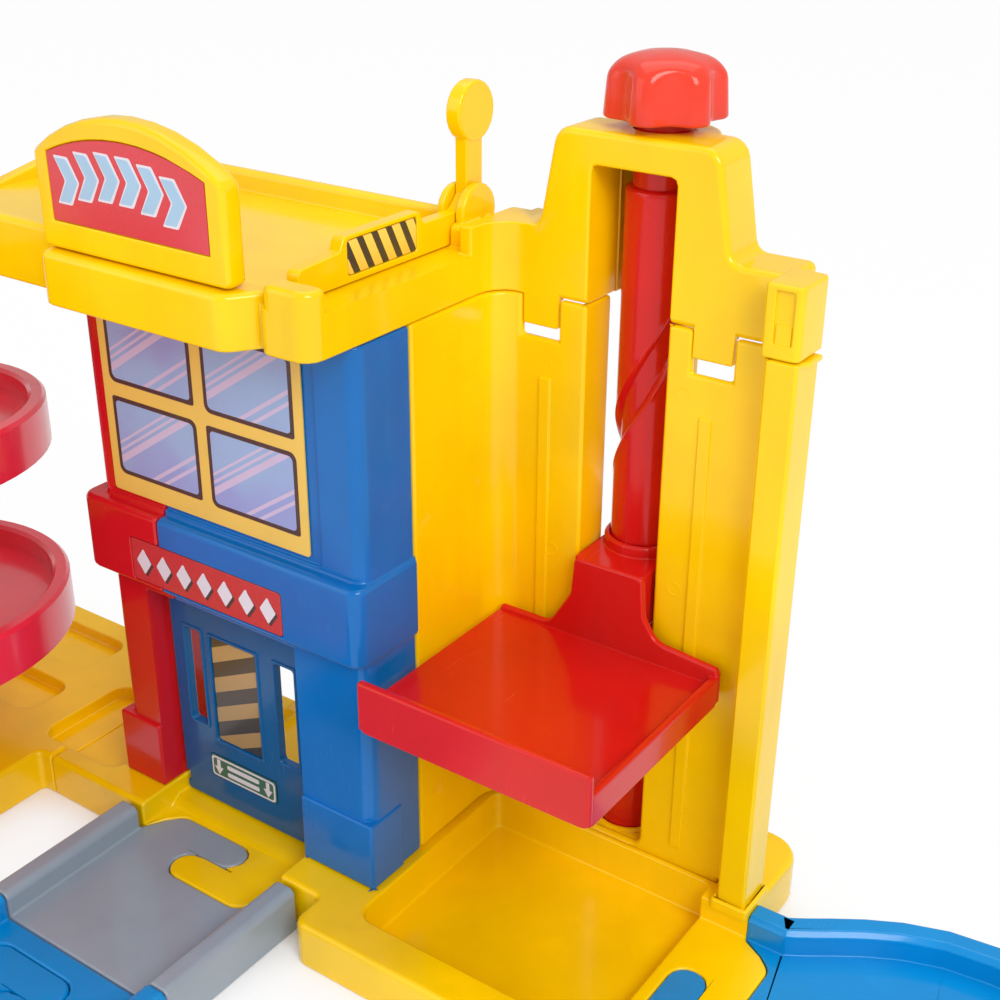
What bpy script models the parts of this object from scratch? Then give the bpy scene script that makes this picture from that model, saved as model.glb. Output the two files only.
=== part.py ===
# Toy parking garage: a screw lift in a slotted tower beside a two-storey gate house,
# a roof deck with a barrier, clip-together roads and a spiral ramp.
# Metres, +Z up. The origin is the axis of the lift screw at floor level,
# +X runs to the right along the facade and +Y to the back.

from math import acos, atan2, cos, pi, radians, sin, tan, tau

import bmesh
import bpy
from mathutils import Matrix, Vector

# Fits and stock
gap = 0.0003
run_gap = 0.0005
overrun = 0.002
skin = 0.0025
wall = 0.003
soft_edge = 0.002
fine_edge = 0.001
sheet = 0.0005
sheet_depth = 0.001
arc_unit = 0.0004
least_radius = 0.0002
volume_slack_share = 0.0001
flat_angle = 0.05

# Levels
base_top = 0.017
apron_level = 0.008
lane_level = 0.011
pit_level = 0.002
bay_level = 0.012
roof_seam = 0.206
deck_rise = 0.013
deck_level = roof_seam + deck_rise
rim_rise = 0.007
rim_top = deck_level + rim_rise
bay_rise = 0.0035
bay_top = deck_level + bay_rise

# Base
seam_x = -0.192
base_front = -0.0993
base_back = -0.017
base_right = 0.0605
block_left = -0.059
block_front = -0.113
block_corner = 0.005
bulge_back = 0.018
bulge_corner = 0.012
left_end = -0.345
left_front = -0.245
left_block = -0.198
left_corner = 0.010
apron_end = -0.086
ramp_end = -0.082

# Lift pit and the way out of it
pit_half = 0.043
pit_front = -0.099
pit_back = -0.0195
pit_front_corner = 0.006
pit_back_corner = 0.003
exit_centre = -0.0595

# Gate house
lane_centre = -0.1095
lane_half = 0.033
house_left = -0.160
house_right = -0.046
house_front = -0.086
house_back = -0.020
house_corner = 0.005
return_back = -0.061
opening_half = 0.0336
jamb_back = -0.072
lintel_foot = 0.0985
belt_foot = 0.103
belt_top = 0.131
belt_out = 0.0045
belt_side = 0.0015
plinth_top = 0.043
plinth_out = 0.0015
colour_seam = -0.130

# Tower
tower_front = -0.017
tower_turn = 0.010
slot_half = 0.014
slot_foot = 0.0172
slot_corner = 0.004
jamb_depth = -0.002
post_left = 0.0485
post_right = 0.0585
post_front = -0.026
post_back = -0.0125

# Arch over the screw
arch_rise = 0.0518
arch_top = roof_seam + arch_rise
arch_head = 0.0098
arch_inner_top = arch_top - arch_head
arch_half_top = 0.0265
arch_half_foot = 0.031
housing_radius = 0.0165

# Knob
knob_clearance = 0.0028
knob_foot = arch_top + knob_clearance
knob_height = 0.0186
knob_radius = 0.0163
knob_lobe = 0.0018
knob_lobes = 6
knob_turn = radians(34.6)

# Lift screw
screw_radius = 0.0105
screw_foot = 0.014
screw_neck = 0.0085
neck_reach = 0.007
neck_start = arch_inner_top - neck_reach
knob_socket = 0.0109
screw_head = knob_foot + knob_socket
groove_depth = 0.0019
groove_pitch = 0.111
groove_height = 0.017
groove_mark = 0.1592
groove_mark_angle = radians(208.2)

# Lift platform, drawn where it rests in the picture
platform_half = 0.041
platform_front = -0.097
platform_foot = 0.088
platform_floor = 0.0955
hub_radius = 0.0125
neck_half = 0.0125
neck_top = 0.124
neck_foot = 0.104
hub_top = 0.128

# Road
road_half = 0.0328
road_wall = 0.0092
road_joint = -0.100
road_far_joint = -0.1795
road_colour_line = -0.1585
plate = 0.003
tongue_width = 0.0126
tongue_tip = 0.0102

# Spiral ramp
spiral_x = -0.247
spiral_y = -0.150
spiral_outer = 0.090
spiral_inner = 0.0435
spiral_mark = 0.1676
spiral_pitch = 0.0676
spiral_lift = 0.0082


# Modelling helpers

def clear_scene():
    for item in list(bpy.data.objects):
        bpy.data.objects.remove(item, do_unlink=True)


def arc_steps(radius):
    # Bigger corners get more facets.
    return max(2, min(6, round((radius / arc_unit) ** 0.5)))


def rounded(corners, counts):
    # A corner (a, b) stays sharp and a corner (a, b, radius) becomes an arc.
    points = []
    for index, corner in enumerate(corners):
        here = Vector(corner[:2])
        if len(corner) == 2:
            points.append(here)
            continue
        radius = corner[2]
        before = (Vector(corners[index - 1][:2]) - here).normalized()
        after = (Vector(corners[(index + 1) % len(corners)][:2]) - here).normalized()
        half = before.angle(after) / 2
        centre = here + (before + after).normalized() * radius / sin(half)
        start = here + before * radius / tan(half) - centre
        end = here + after * radius / tan(half) - centre
        first = atan2(start.y, start.x)
        turn = atan2(start.x * end.y - start.y * end.x, start.dot(end))
        for step in range(counts[index] + 1):
            angle = first + turn * step / counts[index]
            points.append(centre + Vector((cos(angle), sin(angle))) * radius)
    return points


def shrunk(corners, distance):
    # The outline moved inward, each arc keeping its centre. A negative distance grows it.
    result = []
    for index, corner in enumerate(corners):
        here = Vector(corner[:2])
        first = (here - Vector(corners[index - 1][:2])).normalized()
        second = (Vector(corners[(index + 1) % len(corners)][:2]) - here).normalized()
        normal = Vector((-first.y - second.y, first.x + second.x))
        moved = here + normal * distance / (1 + first.dot(second))
        if len(corner) == 2:
            result.append((moved.x, moved.y))
            continue
        convex = first.cross(second) > 0
        radius = corner[2] - distance if convex else corner[2] + distance
        result.append((moved.x, moved.y, max(radius, least_radius)))
    return result


def box_outline(low, high, radius=0.0):
    corners = [(low[0], low[1]), (high[0], low[1]), (high[0], high[1]), (low[0], high[1])]
    return [corner + (radius,) for corner in corners] if radius else corners


def circle_outline(centre, radius, steps=24):
    angles = [tau * step / steps for step in range(steps)]
    return [(centre[0] + radius * cos(a), centre[1] + radius * sin(a)) for a in angles]


def counterclockwise(corners):
    places = [Vector(corner[:2]) for corner in corners]
    area = sum(places[i - 1].cross(places[i]) for i in range(len(places)))
    return list(corners) if area > 0 else list(reversed(corners))


def new_object(name, mesh):
    item = bpy.data.objects.new(name, mesh)
    bpy.context.scene.collection.objects.link(item)
    return item


def loft(name, rings, closed=False):
    # Rings of equally many points, skinned one after another, with flat ends.
    shape = bmesh.new()
    rows = [[shape.verts.new(point) for point in ring] for ring in rings]
    pairs = list(zip(rows, rows[1:]))
    if closed:
        pairs.append((rows[-1], rows[0]))
    for lower, upper in pairs:
        for index in range(len(lower)):
            corners = (lower[index - 1], lower[index], upper[index], upper[index - 1])
            shape.faces.new(corners)
    if not closed:
        shape.faces.new(rows[0])
        shape.faces.new(rows[-1])
    bmesh.ops.recalc_face_normals(shape, faces=shape.faces)
    if shape.calc_volume(signed=True) < 0.0:
        bmesh.ops.reverse_faces(shape, faces=shape.faces)
    mesh = bpy.data.meshes.new(name)
    shape.to_mesh(mesh)
    shape.free()
    return new_object(name, mesh)


def on_axis(point, level, axis):
    if axis == "x":
        return Vector((level, point[0], point[1]))
    if axis == "y":
        return Vector((point[0], level, point[1]))
    return Vector((point[0], point[1], level))


def prism(name, outline, low, high, axis="z", top=0.0, foot=0.0, steps=2):
    # An outline pushed along an axis, with a quarter round at either end.
    corners = counterclockwise(outline)
    counts = [arc_steps(corner[2]) if len(corner) == 3 else 0 for corner in corners]
    levels = []
    for step in range(steps if foot else 0):
        angle = pi / 2 * step / steps
        levels.append((low + foot * (1 - cos(angle)), foot * (1 - sin(angle))))
    levels.append((low + foot, 0.0))
    levels.append((high - top, 0.0))
    for step in reversed(range(steps if top else 0)):
        angle = pi / 2 * step / steps
        levels.append((high - top * (1 - cos(angle)), top * (1 - sin(angle))))
    rings = []
    for level, distance in levels:
        points = rounded(shrunk(corners, distance), counts)
        rings.append([on_axis(point, level, axis) for point in points])
    return loft(name, rings)


def turned(name, profile, steps=32, centre=(0.0, 0.0)):
    # A closed profile of (radius, height) pairs, turned about an upright axis.
    rings = []
    for step in range(steps):
        angle = tau * step / steps
        across = Vector((cos(angle), sin(angle)))
        rings.append([Vector((centre[0] + r * across.x, centre[1] + r * across.y, z)) for r, z in profile])
    return loft(name, rings, closed=True)


def volume_of(mesh):
    # The enclosed volume, or nothing for a mesh that is empty or open.
    shape = bmesh.new()
    shape.from_mesh(mesh)
    closed = all(len(edge.link_faces) == 2 for edge in shape.edges)
    volume = shape.calc_volume(signed=True) if closed and shape.faces else 0.0
    shape.free()
    return volume


def combined_mesh(body, tool, operation, solver):
    modifier = body.modifiers.new("Boolean", "BOOLEAN")
    modifier.operation = operation
    modifier.solver = solver
    modifier.object = tool
    graph = bpy.context.evaluated_depsgraph_get()
    mesh = bpy.data.meshes.new_from_object(body.evaluated_get(graph))
    body.modifiers.clear()
    return mesh


def combine(body, tools, operation):
    # The exact solver, and the manifold one where the exact result has lost or gained volume.
    for tool in tools:
        first = volume_of(body.data)
        second = volume_of(tool.data)
        limits = {
            "UNION": (max(first, second), first + second),
            "DIFFERENCE": (first - second, first),
            "INTERSECT": (0.0, min(first, second)),
        }
        lowest, highest = limits[operation]
        slack = first * volume_slack_share
        for solver in ("EXACT", "MANIFOLD"):
            mesh = combined_mesh(body, tool, operation, solver)
            volume = volume_of(mesh)
            if volume > 0.0 and lowest - slack <= volume <= highest + slack:
                break
        body.data = mesh
        bpy.data.objects.remove(tool, do_unlink=True)
    return body


def cut(body, *tools):
    return combine(body, tools, "DIFFERENCE")


def join(body, *tools):
    return combine(body, tools, "UNION")


def keep(body, *tools):
    return combine(body, tools, "INTERSECT")


def block(low, high, radius=0.0):
    outline = box_outline(low[:2], high[:2], radius)
    return prism("block", outline, low[2], high[2])


def sweep(name, section, frames):
    # A section of (across, up) pairs carried along frames of place, right-hand side and height.
    rings = []
    for place, right, level in frames:
        rings.append([Vector((place.x + right.x * a, place.y + right.y * a, level + up)) for a, up in section])
    return loft(name, rings)


def finish(item, surface, smooth=30):
    shape = bmesh.new()
    shape.from_mesh(item.data)
    bmesh.ops.dissolve_limit(shape, angle_limit=radians(flat_angle), verts=shape.verts, edges=shape.edges)
    shape.to_mesh(item.data)
    shape.free()
    item.data.materials.clear()
    item.data.materials.append(surface)
    item.data.shade_smooth()
    item.data.set_sharp_from_angle(angle=radians(smooth))
    return item


def set_pivot(item, pivot):
    item.data.transform(Matrix.Translation(-Vector(pivot)))
    item.location = pivot


def plastic(name, colour, roughness=0.3):
    surface = bpy.data.materials.new(name)
    surface.use_nodes = True
    shader = surface.node_tree.nodes["Principled BSDF"]
    shader.inputs["Base Color"].default_value = colour + (1.0,)
    shader.inputs["Roughness"].default_value = roughness
    shader.inputs["Metallic"].default_value = 0.0
    surface.diffuse_color = colour + (1.0,)
    return surface


# Hook joint of the roads: each side has a tongue that turns round the other's

def tongue_outline(grow, half=road_half, root=0.0):
    # Drawn with the joint line along u and the tongue reaching to +v.
    radius = tongue_width / 2
    tip = tongue_tip - radius
    shoulder_shares = (0.87, 0.73)
    slope_end_share = 0.59
    corners = [
        (-half, -root),
        (-tongue_tip - gap, -root),
        (-tongue_tip - gap, 0.0),
        (tip, 0.0),
        (tongue_tip, 0.0, radius * 0.98),
        (tongue_tip, tongue_width, radius * 0.98),
        (tip, tongue_width),
        (-half * shoulder_shares[1], tongue_width, radius),
        (-half * shoulder_shares[0], tongue_width * slope_end_share, radius / 2),
        (-half, 0.0),
    ]
    if not root:
        corners = corners[3:]
    return shrunk(counterclockwise(corners), -grow)


def placed(corners, origin, angle):
    result = []
    for corner in corners:
        x = corner[0] * cos(angle) - corner[1] * sin(angle)
        y = corner[0] * sin(angle) + corner[1] * cos(angle)
        result.append((origin[0] + x, origin[1] + y) + tuple(corner[2:]))
    return result


def add_hook(body, origin, angle, half=road_half):
    # Cuts the other side's tongue out of the floor and adds this side's tongue.
    foot = apron_level - plate
    other = placed(tongue_outline(gap / 2, half), origin, angle + pi)
    own = placed(tongue_outline(-gap / 2, half, root=skin), origin, angle)
    cut(body, prism("other", other, foot - gap, apron_level + overrun))
    join(body, prism("own", own, foot, apron_level))
    return body


# Base

def front_pocket(grow=0.0, floor=bay_level, top=base_top + overrun):
    pocket_left = -0.207
    pocket_right = -0.166
    pocket_front = -0.091
    pocket_back = -0.050
    pocket_corner = 0.006
    outline = box_outline((pocket_left - grow, pocket_front - grow), (pocket_right + grow, pocket_back + grow),
                          pocket_corner + grow)
    return prism("pocket", outline, floor, top, foot=fine_edge)


def bay_pockets(grow=0.0, floor=bay_level, top=base_top + overrun):
    bay_end = -0.335
    bay_corner = 0.006
    bays = [(-0.228, -0.052, -0.028), (-0.223, -0.085, -0.063)]
    tools = []
    for right, front, back in bays:
        outline = box_outline((bay_end - grow, front - grow), (right + grow, back + grow), bay_corner + grow)
        tools.append(prism("bay", outline, floor, top, foot=fine_edge))
    return tools


def make_base_main():
    seam = seam_x + gap / 2
    outline = [
        (seam, base_back),
        (seam, base_front),
        (block_left, base_front, soft_edge),
        (block_left, block_front, block_corner),
        (base_right, block_front, block_corner),
        (base_right, bulge_back, bulge_corner),
        (block_left, bulge_back, bulge_corner),
        (block_left, base_back, soft_edge),
    ]
    body = prism("base_main", outline, 0.0, base_top, top=soft_edge)
    over = base_top + overrun
    channel = [
        (base_front - overrun, apron_level),
        (apron_end, apron_level),
        (ramp_end, lane_level),
        (base_back + overrun, lane_level),
        (base_back + overrun, over),
        (base_front - overrun, over),
    ]
    lane_left = lane_centre - lane_half
    lane_right = lane_centre + lane_half
    cut(body, prism("channel", channel, lane_left, lane_right, axis="x"))
    pit = [
        (-pit_half, pit_front, pit_front_corner),
        (pit_half, pit_front, pit_front_corner),
        (pit_half, pit_back, pit_back_corner),
        (-pit_half, pit_back, pit_back_corner),
    ]
    cut(body, prism("pit", pit, pit_level, over, foot=fine_edge))
    cut(body, block((pit_half - pit_front_corner, exit_centre - lane_half, apron_level),
                    (base_right + overrun, exit_centre + lane_half, over)))
    cut(body, front_pocket())

    # Socket for the foot of the tower's post, with a low upstand round it
    socket_wall = 0.0015
    socket_lip = 0.002
    socket_floor = bay_level
    low = (post_left - gap, post_front - gap)
    high = (post_right + gap, post_back + gap)
    lip = box_outline((low[0] - socket_wall, low[1] - socket_wall), (high[0] + socket_wall, high[1] + socket_wall),
                      socket_wall)
    join(body, prism("lip", lip, base_top - socket_lip, base_top + socket_lip, top=fine_edge))
    cut(body, block(low + (socket_floor,), high + (over + socket_lip,)))
    cut(body, block((low[0] - 2 * socket_wall, tower_front - gap, base_top),
                    (post_left, tower_front + wall + gap, over + socket_lip)))

    # Seat of the screw's collar and groove for the foot of the tower wall
    cut(body, prism("seat", circle_outline((0.0, 0.0), collar_radius + gap, 32), collar_foot, over))
    tongue_low = (tongue_left - gap, tower_front - gap, tongue_foot - gap)
    tongue_high = (tongue_right + gap, tower_front + wall + gap, over)
    cut(body, block(tongue_low, tongue_high))

    # Hollows under the moulding
    ceiling = base_top - skin
    sole = -overrun
    strip = block((seam + skin, base_front + skin, sole), (lane_left - skin, base_back - skin, ceiling))
    cut(strip, front_pocket(skin, bay_level - skin, base_top))
    under_lane = [
        (base_front + skin, sole),
        (base_front + skin, apron_level - plate),
        (apron_end, apron_level - plate),
        (ramp_end, lane_level - plate),
        (base_back - skin, lane_level - plate),
        (base_back - skin, sole),
    ]
    seat_wall = collar_radius + wall
    back_hollow = block((block_left + skin, tower_front + 2 * wall, sole),
                        (post_left - wall, bulge_back - skin, ceiling), bulge_corner - skin)
    cut(back_hollow, prism("seat_wall", circle_outline((0.0, 0.0), seat_wall, 32), 2 * sole, base_top))
    hollows = [
        strip,
        prism("under_lane", under_lane, lane_left, lane_right, axis="x"),
        block((lane_right + skin, base_front + skin, sole), (-pit_half - skin, base_back - skin, ceiling)),
        block((block_left + skin, block_front + skin, sole), (base_right - skin, pit_front - skin, ceiling)),
        block((pit_half + skin, exit_centre - lane_half + skin, sole),
              (base_right - skin, exit_centre + lane_half - skin, apron_level - plate)),
        back_hollow,
        block((post_left, post_back + wall, sole), (base_right - skin, bulge_back - skin, ceiling)),
    ]
    cut(body, *hollows)
    add_hook(body, (lane_centre, road_joint), pi)
    add_hook(body, (base_right, exit_centre), -pi / 2)
    return body


def make_base_left():
    seam = seam_x - gap / 2
    outline = [
        (seam, base_front),
        (seam, base_back),
        (left_end, base_back, left_corner),
        (left_end, left_front, left_corner),
        (left_block, left_front, left_corner),
        (left_block, base_front, soft_edge),
    ]
    body = prism("base_left", outline, 0.0, base_top, top=soft_edge)
    cut(body, front_pocket(), *bay_pockets())
    ceiling = base_top - skin
    middle = (base_front + spiral_y) / 2
    across = [base_back, middle, left_front]
    hollow = block((left_end + skin, across[1] + skin / 2, -overrun), (seam - skin, across[0] - skin, ceiling))
    cut(hollow, front_pocket(skin, bay_level - skin, base_top))
    cut(hollow, *bay_pockets(skin, bay_level - skin, base_top))
    cut(hollow, block((left_block - skin, left_front, 2 * -overrun), (seam, base_front + skin, base_top)))
    front_hollow = block((left_end + skin, across[2] + skin, -overrun),
                         (left_block - skin, across[1] - skin / 2, ceiling))
    cut(body, hollow, front_hollow)
    return body


# Screw, its collar and its knob

collar_radius = 0.0135
collar_foot = 0.0137
collar_top = 0.0168


def make_collar():
    inner = screw_radius + gap
    profile = [
        (inner, collar_foot + gap),
        (collar_radius, collar_foot + gap),
        (collar_radius, collar_top - fine_edge),
        (collar_radius - fine_edge, collar_top),
        (inner, collar_top),
    ]
    return turned("screw_collar", profile)


def groove_angle(level):
    return groove_mark_angle + tau * (level - groove_mark) / groove_pitch


def make_screw():
    half = pi * groove_height / groove_pitch
    flank_share = 0.82
    around = 15
    rows = 31
    rings = []

    def ring(level, radius, depth, turn):
        points = []
        for step in range(around + 1):
            angle = half + (tau - 2 * half) * step / around + turn
            points.append(Vector((radius * cos(angle), radius * sin(angle), level)))
        for share in (-flank_share, -flank_share / 3, flank_share / 3, flank_share):
            angle = share * half + turn
            points.append(Vector(((radius - depth) * cos(angle), (radius - depth) * sin(angle), level)))
        return points

    groove_end = neck_start - fine_edge
    for row in range(rows):
        level = screw_foot + (groove_end - screw_foot) * row / (rows - 1)
        rings.append(ring(level, screw_radius, groove_depth, groove_angle(level)))
    last = groove_angle(groove_end)
    rings.append(ring(neck_start, screw_radius - fine_edge, groove_depth - fine_edge, last))
    rings.append(ring(neck_start + fine_edge, screw_neck, 0.0, last))
    rings.append(ring(screw_head, screw_neck, 0.0, last))
    return loft("lift_screw", rings)


def make_knob():
    # Six finger scallops that fade into a domed head.
    level_shares = (0.0, 0.03, 0.60, 0.73, 0.83, 0.91, 0.97, 1.0)
    width_shares = (0.975, 1.0, 0.955, 0.925, 0.865, 0.74, 0.50, 0.20)
    lobe_shares = (1.0, 1.0, 1.0, 0.95, 0.75, 0.50, 0.25, 0.10)
    steps_of_lobe = 8
    steps = knob_lobes * steps_of_lobe
    rings = []
    for up, wide, lobed in zip(level_shares, width_shares, lobe_shares):
        ring = []
        for step in range(steps):
            angle = tau * step / steps
            radius = (knob_radius + knob_lobe * lobed * cos(knob_lobes * (angle - knob_turn))) * wide
            ring.append(Vector((radius * cos(angle), radius * sin(angle), knob_foot + knob_height * up)))
        rings.append(ring)
    body = loft("knob", rings)
    bore = circle_outline((0.0, 0.0), screw_neck + gap, 32)
    cut(body, prism("bore", bore, knob_foot - overrun, screw_head + gap))
    return body


# Lift platform

def make_platform():
    tray_back = pit_back - run_gap
    back_plate = 0.0024
    tray_corner = 0.003
    lip_top = 0.1055
    lip = 0.003
    rim_height = 0.0985
    outline = box_outline((-platform_half, platform_front), (platform_half, tray_back), tray_corner)
    body = prism("platform", outline, platform_foot, platform_floor)
    hollow = box_outline((-platform_half + skin, platform_front + skin), (platform_half - skin, tray_back - skin),
                         fine_edge)
    cut(body, prism("hollow", hollow, platform_foot - overrun, platform_floor - skin))
    front = box_outline((-platform_half, platform_front), (platform_half, platform_front + lip), fine_edge)
    join(body, prism("lip", front, platform_foot + fine_edge, lip_top, top=fine_edge))
    side_front = platform_front + lip / 2
    side = box_outline((platform_half - lip, side_front), (platform_half, tray_back - fine_edge), fine_edge)
    join(body, prism("rim", side, platform_foot + fine_edge, rim_height, top=fine_edge))

    # Bell-shaped back plate
    low_left = 0.0970
    low_right = 0.0990
    flank = 0.1085
    bell = [
        (-platform_half, platform_foot + fine_edge),
        (platform_half, platform_foot + fine_edge),
        (platform_half, low_right),
        (platform_half - fine_edge, low_right + soft_edge, fine_edge),
        (neck_half + tray_corner * 2, low_right + 2 * soft_edge, tray_corner * 2),
        (neck_half + fine_edge, flank + soft_edge, tray_corner * 2),
        (neck_half, neck_top, soft_edge),
        (-neck_half, neck_top, soft_edge),
        (-neck_half - fine_edge, flank + soft_edge, tray_corner * 2),
        (-neck_half - tray_corner * 3, low_left, tray_corner * 2),
        (-platform_half, low_left, fine_edge),
    ]
    join(body, prism("bell", bell, tray_back - back_plate, tray_back, axis="y", foot=fine_edge))

    # Neck through the slot and hub round the screw
    neck = block((-neck_half, tray_back - back_plate / 2, neck_foot), (neck_half, 0.0, neck_top))
    cut(neck, block((-neck_half + skin, tray_back - overrun, neck_foot - overrun),
                    (neck_half - skin, -screw_radius, neck_top - skin)))
    bore = circle_outline((0.0, 0.0), screw_radius + gap, 40)
    ring = prism("hub_ring", circle_outline((0.0, 0.0), hub_radius, 40), neck_foot, hub_top, top=fine_edge)
    join(body, neck, ring)
    cut(body, prism("bore", bore, neck_foot - overrun, hub_top + overrun))

    # Nub on the bore's wall, which runs in the screw's groove
    nub_level = (neck_foot + hub_top) / 2
    nub_radius = 0.0032
    nub_tip = screw_radius - groove_depth + run_gap
    nub = prism("nub", circle_outline((0.0, nub_level), nub_radius, 16), nub_tip, hub_radius - fine_edge, axis="x")
    nub.data.transform(Matrix.Rotation(groove_angle(nub_level), 4, "Z"))
    join(body, nub)
    return body


# Tower

tongue_left = -0.034
tongue_right = 0.044
tongue_foot = 0.0103
latch_reach = 0.0136
latch_foot = roof_seam - latch_reach
latches = [(-0.0368, -0.0240), (0.0222, 0.0350)]
latch_tab_drops = [0.0098, 0.0088]


def make_tower():
    top = roof_seam - gap
    foot = base_top + gap
    outer = tower_turn + wall
    turn_x = house_right - wall
    left = [
        (house_right, return_back + gap),
        (house_right, tower_front, tower_turn),
        (-slot_half, tower_front, fine_edge),
        (-slot_half, jamb_depth),
        (-slot_half - wall, jamb_depth),
        (-slot_half - wall, tower_front + wall),
        (turn_x, tower_front + wall, outer),
        (turn_x, return_back + gap),
    ]
    right = [
        (slot_half, jamb_depth),
        (slot_half, tower_front, fine_edge),
        (post_left, tower_front),
        (post_left, post_front, fine_edge),
        (post_right, post_front, fine_edge),
        (post_right, post_back),
        (post_right - wall, post_back),
        (post_right - wall, post_front + wall),
        (post_left + wall, post_front + wall),
        (post_left + wall, tower_front + wall),
        (slot_half + wall, tower_front + wall),
        (slot_half + wall, jamb_depth),
    ]
    body = prism("tower_wall", left, foot, top)
    tie_top = slot_foot + 2 * slot_corner
    tie = [
        (tongue_left, tongue_foot),
        (tongue_right, tongue_foot),
        (tongue_right, tie_top),
        (slot_half, tie_top),
        (slot_half, slot_foot, slot_corner),
        (-slot_half, slot_foot, slot_corner),
        (-slot_half, tie_top),
        (tongue_left, tie_top),
    ]
    join(body, prism("tie", tie, tower_front, tower_front + wall, axis="y"))
    join(body, prism("right_wall", right, foot, top))
    post_low = (post_left, post_front, socket_foot)
    post_high = (post_right, post_back, foot + fine_edge)
    join(body, block(post_low, post_high))
    for low, high in latches:
        cut(body, block((low - gap, tower_front - overrun, latch_foot),
                        (high + gap, tower_front + wall + overrun, top + overrun)))

    # Stiffening ribs on the lift's side and a lip at the top of the post
    rib_half = 0.002
    rib_proud = 0.0008
    rib_place = 0.028
    rib_foot = 0.024
    rib_top = 0.180
    for side in (-rib_place, rib_place):
        rib = block((side - rib_half, tower_front - rib_proud, rib_foot),
                    (side + rib_half, tower_front + rib_proud, rib_top))
        join(body, rib)
    lip_height = 0.0022
    lip_foot = roof_seam - lip_height
    lip_out = 0.0015
    lip = [
        (post_right - lip_out, post_front + lip_out),
        (post_right, post_front + lip_out),
        (post_right + lip_out, post_front + wall * 2, lip_out),
        (post_right + lip_out, post_back),
        (post_right - lip_out, post_back),
    ]
    join(body, prism("post_lip", lip, lip_foot, top, foot=fine_edge / 2))
    return body


socket_foot = bay_level + gap


# Gate house

hinge_y = -0.0765
hinge_z = 0.0943
hinge_hole = 0.0018
window_field_left = -0.157
window_field_right = -0.062
window_field_foot = 0.1325
window_field_margin = 0.003
window_field_top = roof_seam - window_field_margin
lintel_label_foot = 0.105
lintel_label_top = 0.121


def house_solid():
    foot = base_top + gap
    top = roof_seam - gap
    right_belt = house_right + belt_side
    left_belt = house_left - belt_out - belt_side
    shell = [
        (house_left, house_back),
        (house_left, house_front, house_corner),
        (house_right, house_front, house_corner),
        (house_right, house_back),
    ]
    body = prism("house", shell, foot, top)
    belt = [
        (left_belt, house_back),
        (left_belt, house_front - belt_out, house_corner),
        (right_belt, house_front - belt_out, house_corner),
        (right_belt, house_back),
    ]
    join(body, prism("belt", belt, belt_foot, belt_top, top=soft_edge, foot=soft_edge))
    plinth_depth = house_front + 3 * house_corner
    opening_left = lane_centre - opening_half
    opening_right = lane_centre + opening_half
    red_plinth = box_outline((house_left - 2 * plinth_out, house_front - plinth_out),
                             (opening_left, plinth_depth), fine_edge)
    blue_plinth = box_outline((opening_right, house_front - plinth_out),
                              (house_right + plinth_out / 2, plinth_depth), fine_edge)
    for outline in (red_plinth, blue_plinth):
        join(body, prism("plinth", outline, foot, plinth_top, top=fine_edge))

    # Room inside: open behind, with the return of the right wall ending at the tower
    inner_left = house_left + wall
    inner_right = house_right - wall
    inner_front = house_front + wall
    past = house_right + 2 * plinth_out + overrun
    behind = house_back + overrun
    low_room = [
        (inner_left, inner_front),
        (opening_left - wall, inner_front),
        (opening_left - wall, jamb_back),
        (opening_right + wall, jamb_back),
        (opening_right + wall, inner_front),
        (inner_right, inner_front),
        (inner_right, return_back),
        (past, return_back),
        (past, behind),
        (inner_left, behind),
    ]
    high_room = [
        (inner_left, inner_front),
        (inner_right, inner_front),
        (inner_right, return_back),
        (past, return_back),
        (past, behind),
        (inner_left, behind),
    ]
    soffit = lintel_foot + wall
    cut(body, prism("low_room", low_room, 0.0, soffit))
    cut(body, prism("high_room", high_room, soffit - fine_edge, top + overrun))
    belt_room = [
        (left_belt + wall, house_front - belt_out + wall),
        (inner_right, house_front - belt_out + wall),
        (inner_right, behind),
        (left_belt + wall, behind),
    ]
    cut(body, prism("belt_room", belt_room, belt_foot + wall, belt_top - wall))
    cut(body, block((opening_left, house_front - belt_out, 0.0), (opening_right, jamb_back + overrun, lintel_foot)))

    # Hinge holes, window field and lintel panel
    hole = circle_outline((hinge_y, hinge_z), hinge_hole, 16)
    cut(body, prism("hinge", hole, opening_left - wall - overrun, opening_right + wall + overrun, axis="x"))
    field = box_outline((window_field_left, window_field_foot), (window_field_right, window_field_top), soft_edge)
    cut(body, prism("field", field, house_front - overrun, house_front + sheet_depth, axis="y"))
    panel = box_outline((lane_centre - opening_half, lintel_label_foot), (lane_centre + opening_half, lintel_label_top),
                        fine_edge)
    front = house_front - belt_out
    cut(body, prism("panel", panel, front - overrun, front + sheet_depth, axis="y"))
    return body


def make_house():
    far = 2 * overrun
    low = (house_left - 2 * house_corner, house_front - 2 * house_corner, 0.0)
    high = (house_right + 2 * house_corner, house_back + far, roof_seam + far)
    red = house_solid()
    red.name = "facade_left"
    keep(red, block(low, (colour_seam - gap / 2, high[1], high[2])))
    blue = house_solid()
    blue.name = "facade_right"
    keep(blue, block((colour_seam + gap / 2, low[1], low[2]), high))
    return red, blue


def make_window_label():
    label_left = -0.1525
    label_right = -0.0667
    label_foot = 0.1345
    label_top = window_field_top - fine_edge
    back = house_front + sheet_depth - gap
    outline = box_outline((label_left, label_foot), (label_right, label_top), fine_edge)
    return prism("window_label", outline, back - sheet, back, axis="y")


def make_lintel_label():
    back = house_front - belt_out + sheet_depth - gap
    half = opening_half - gap
    outline = box_outline((lane_centre - half, lintel_label_foot + gap), (lane_centre + half, lintel_label_top - gap),
                          fine_edge)
    return prism("lintel_label", outline, back - sheet, back, axis="y")


# Door

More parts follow.
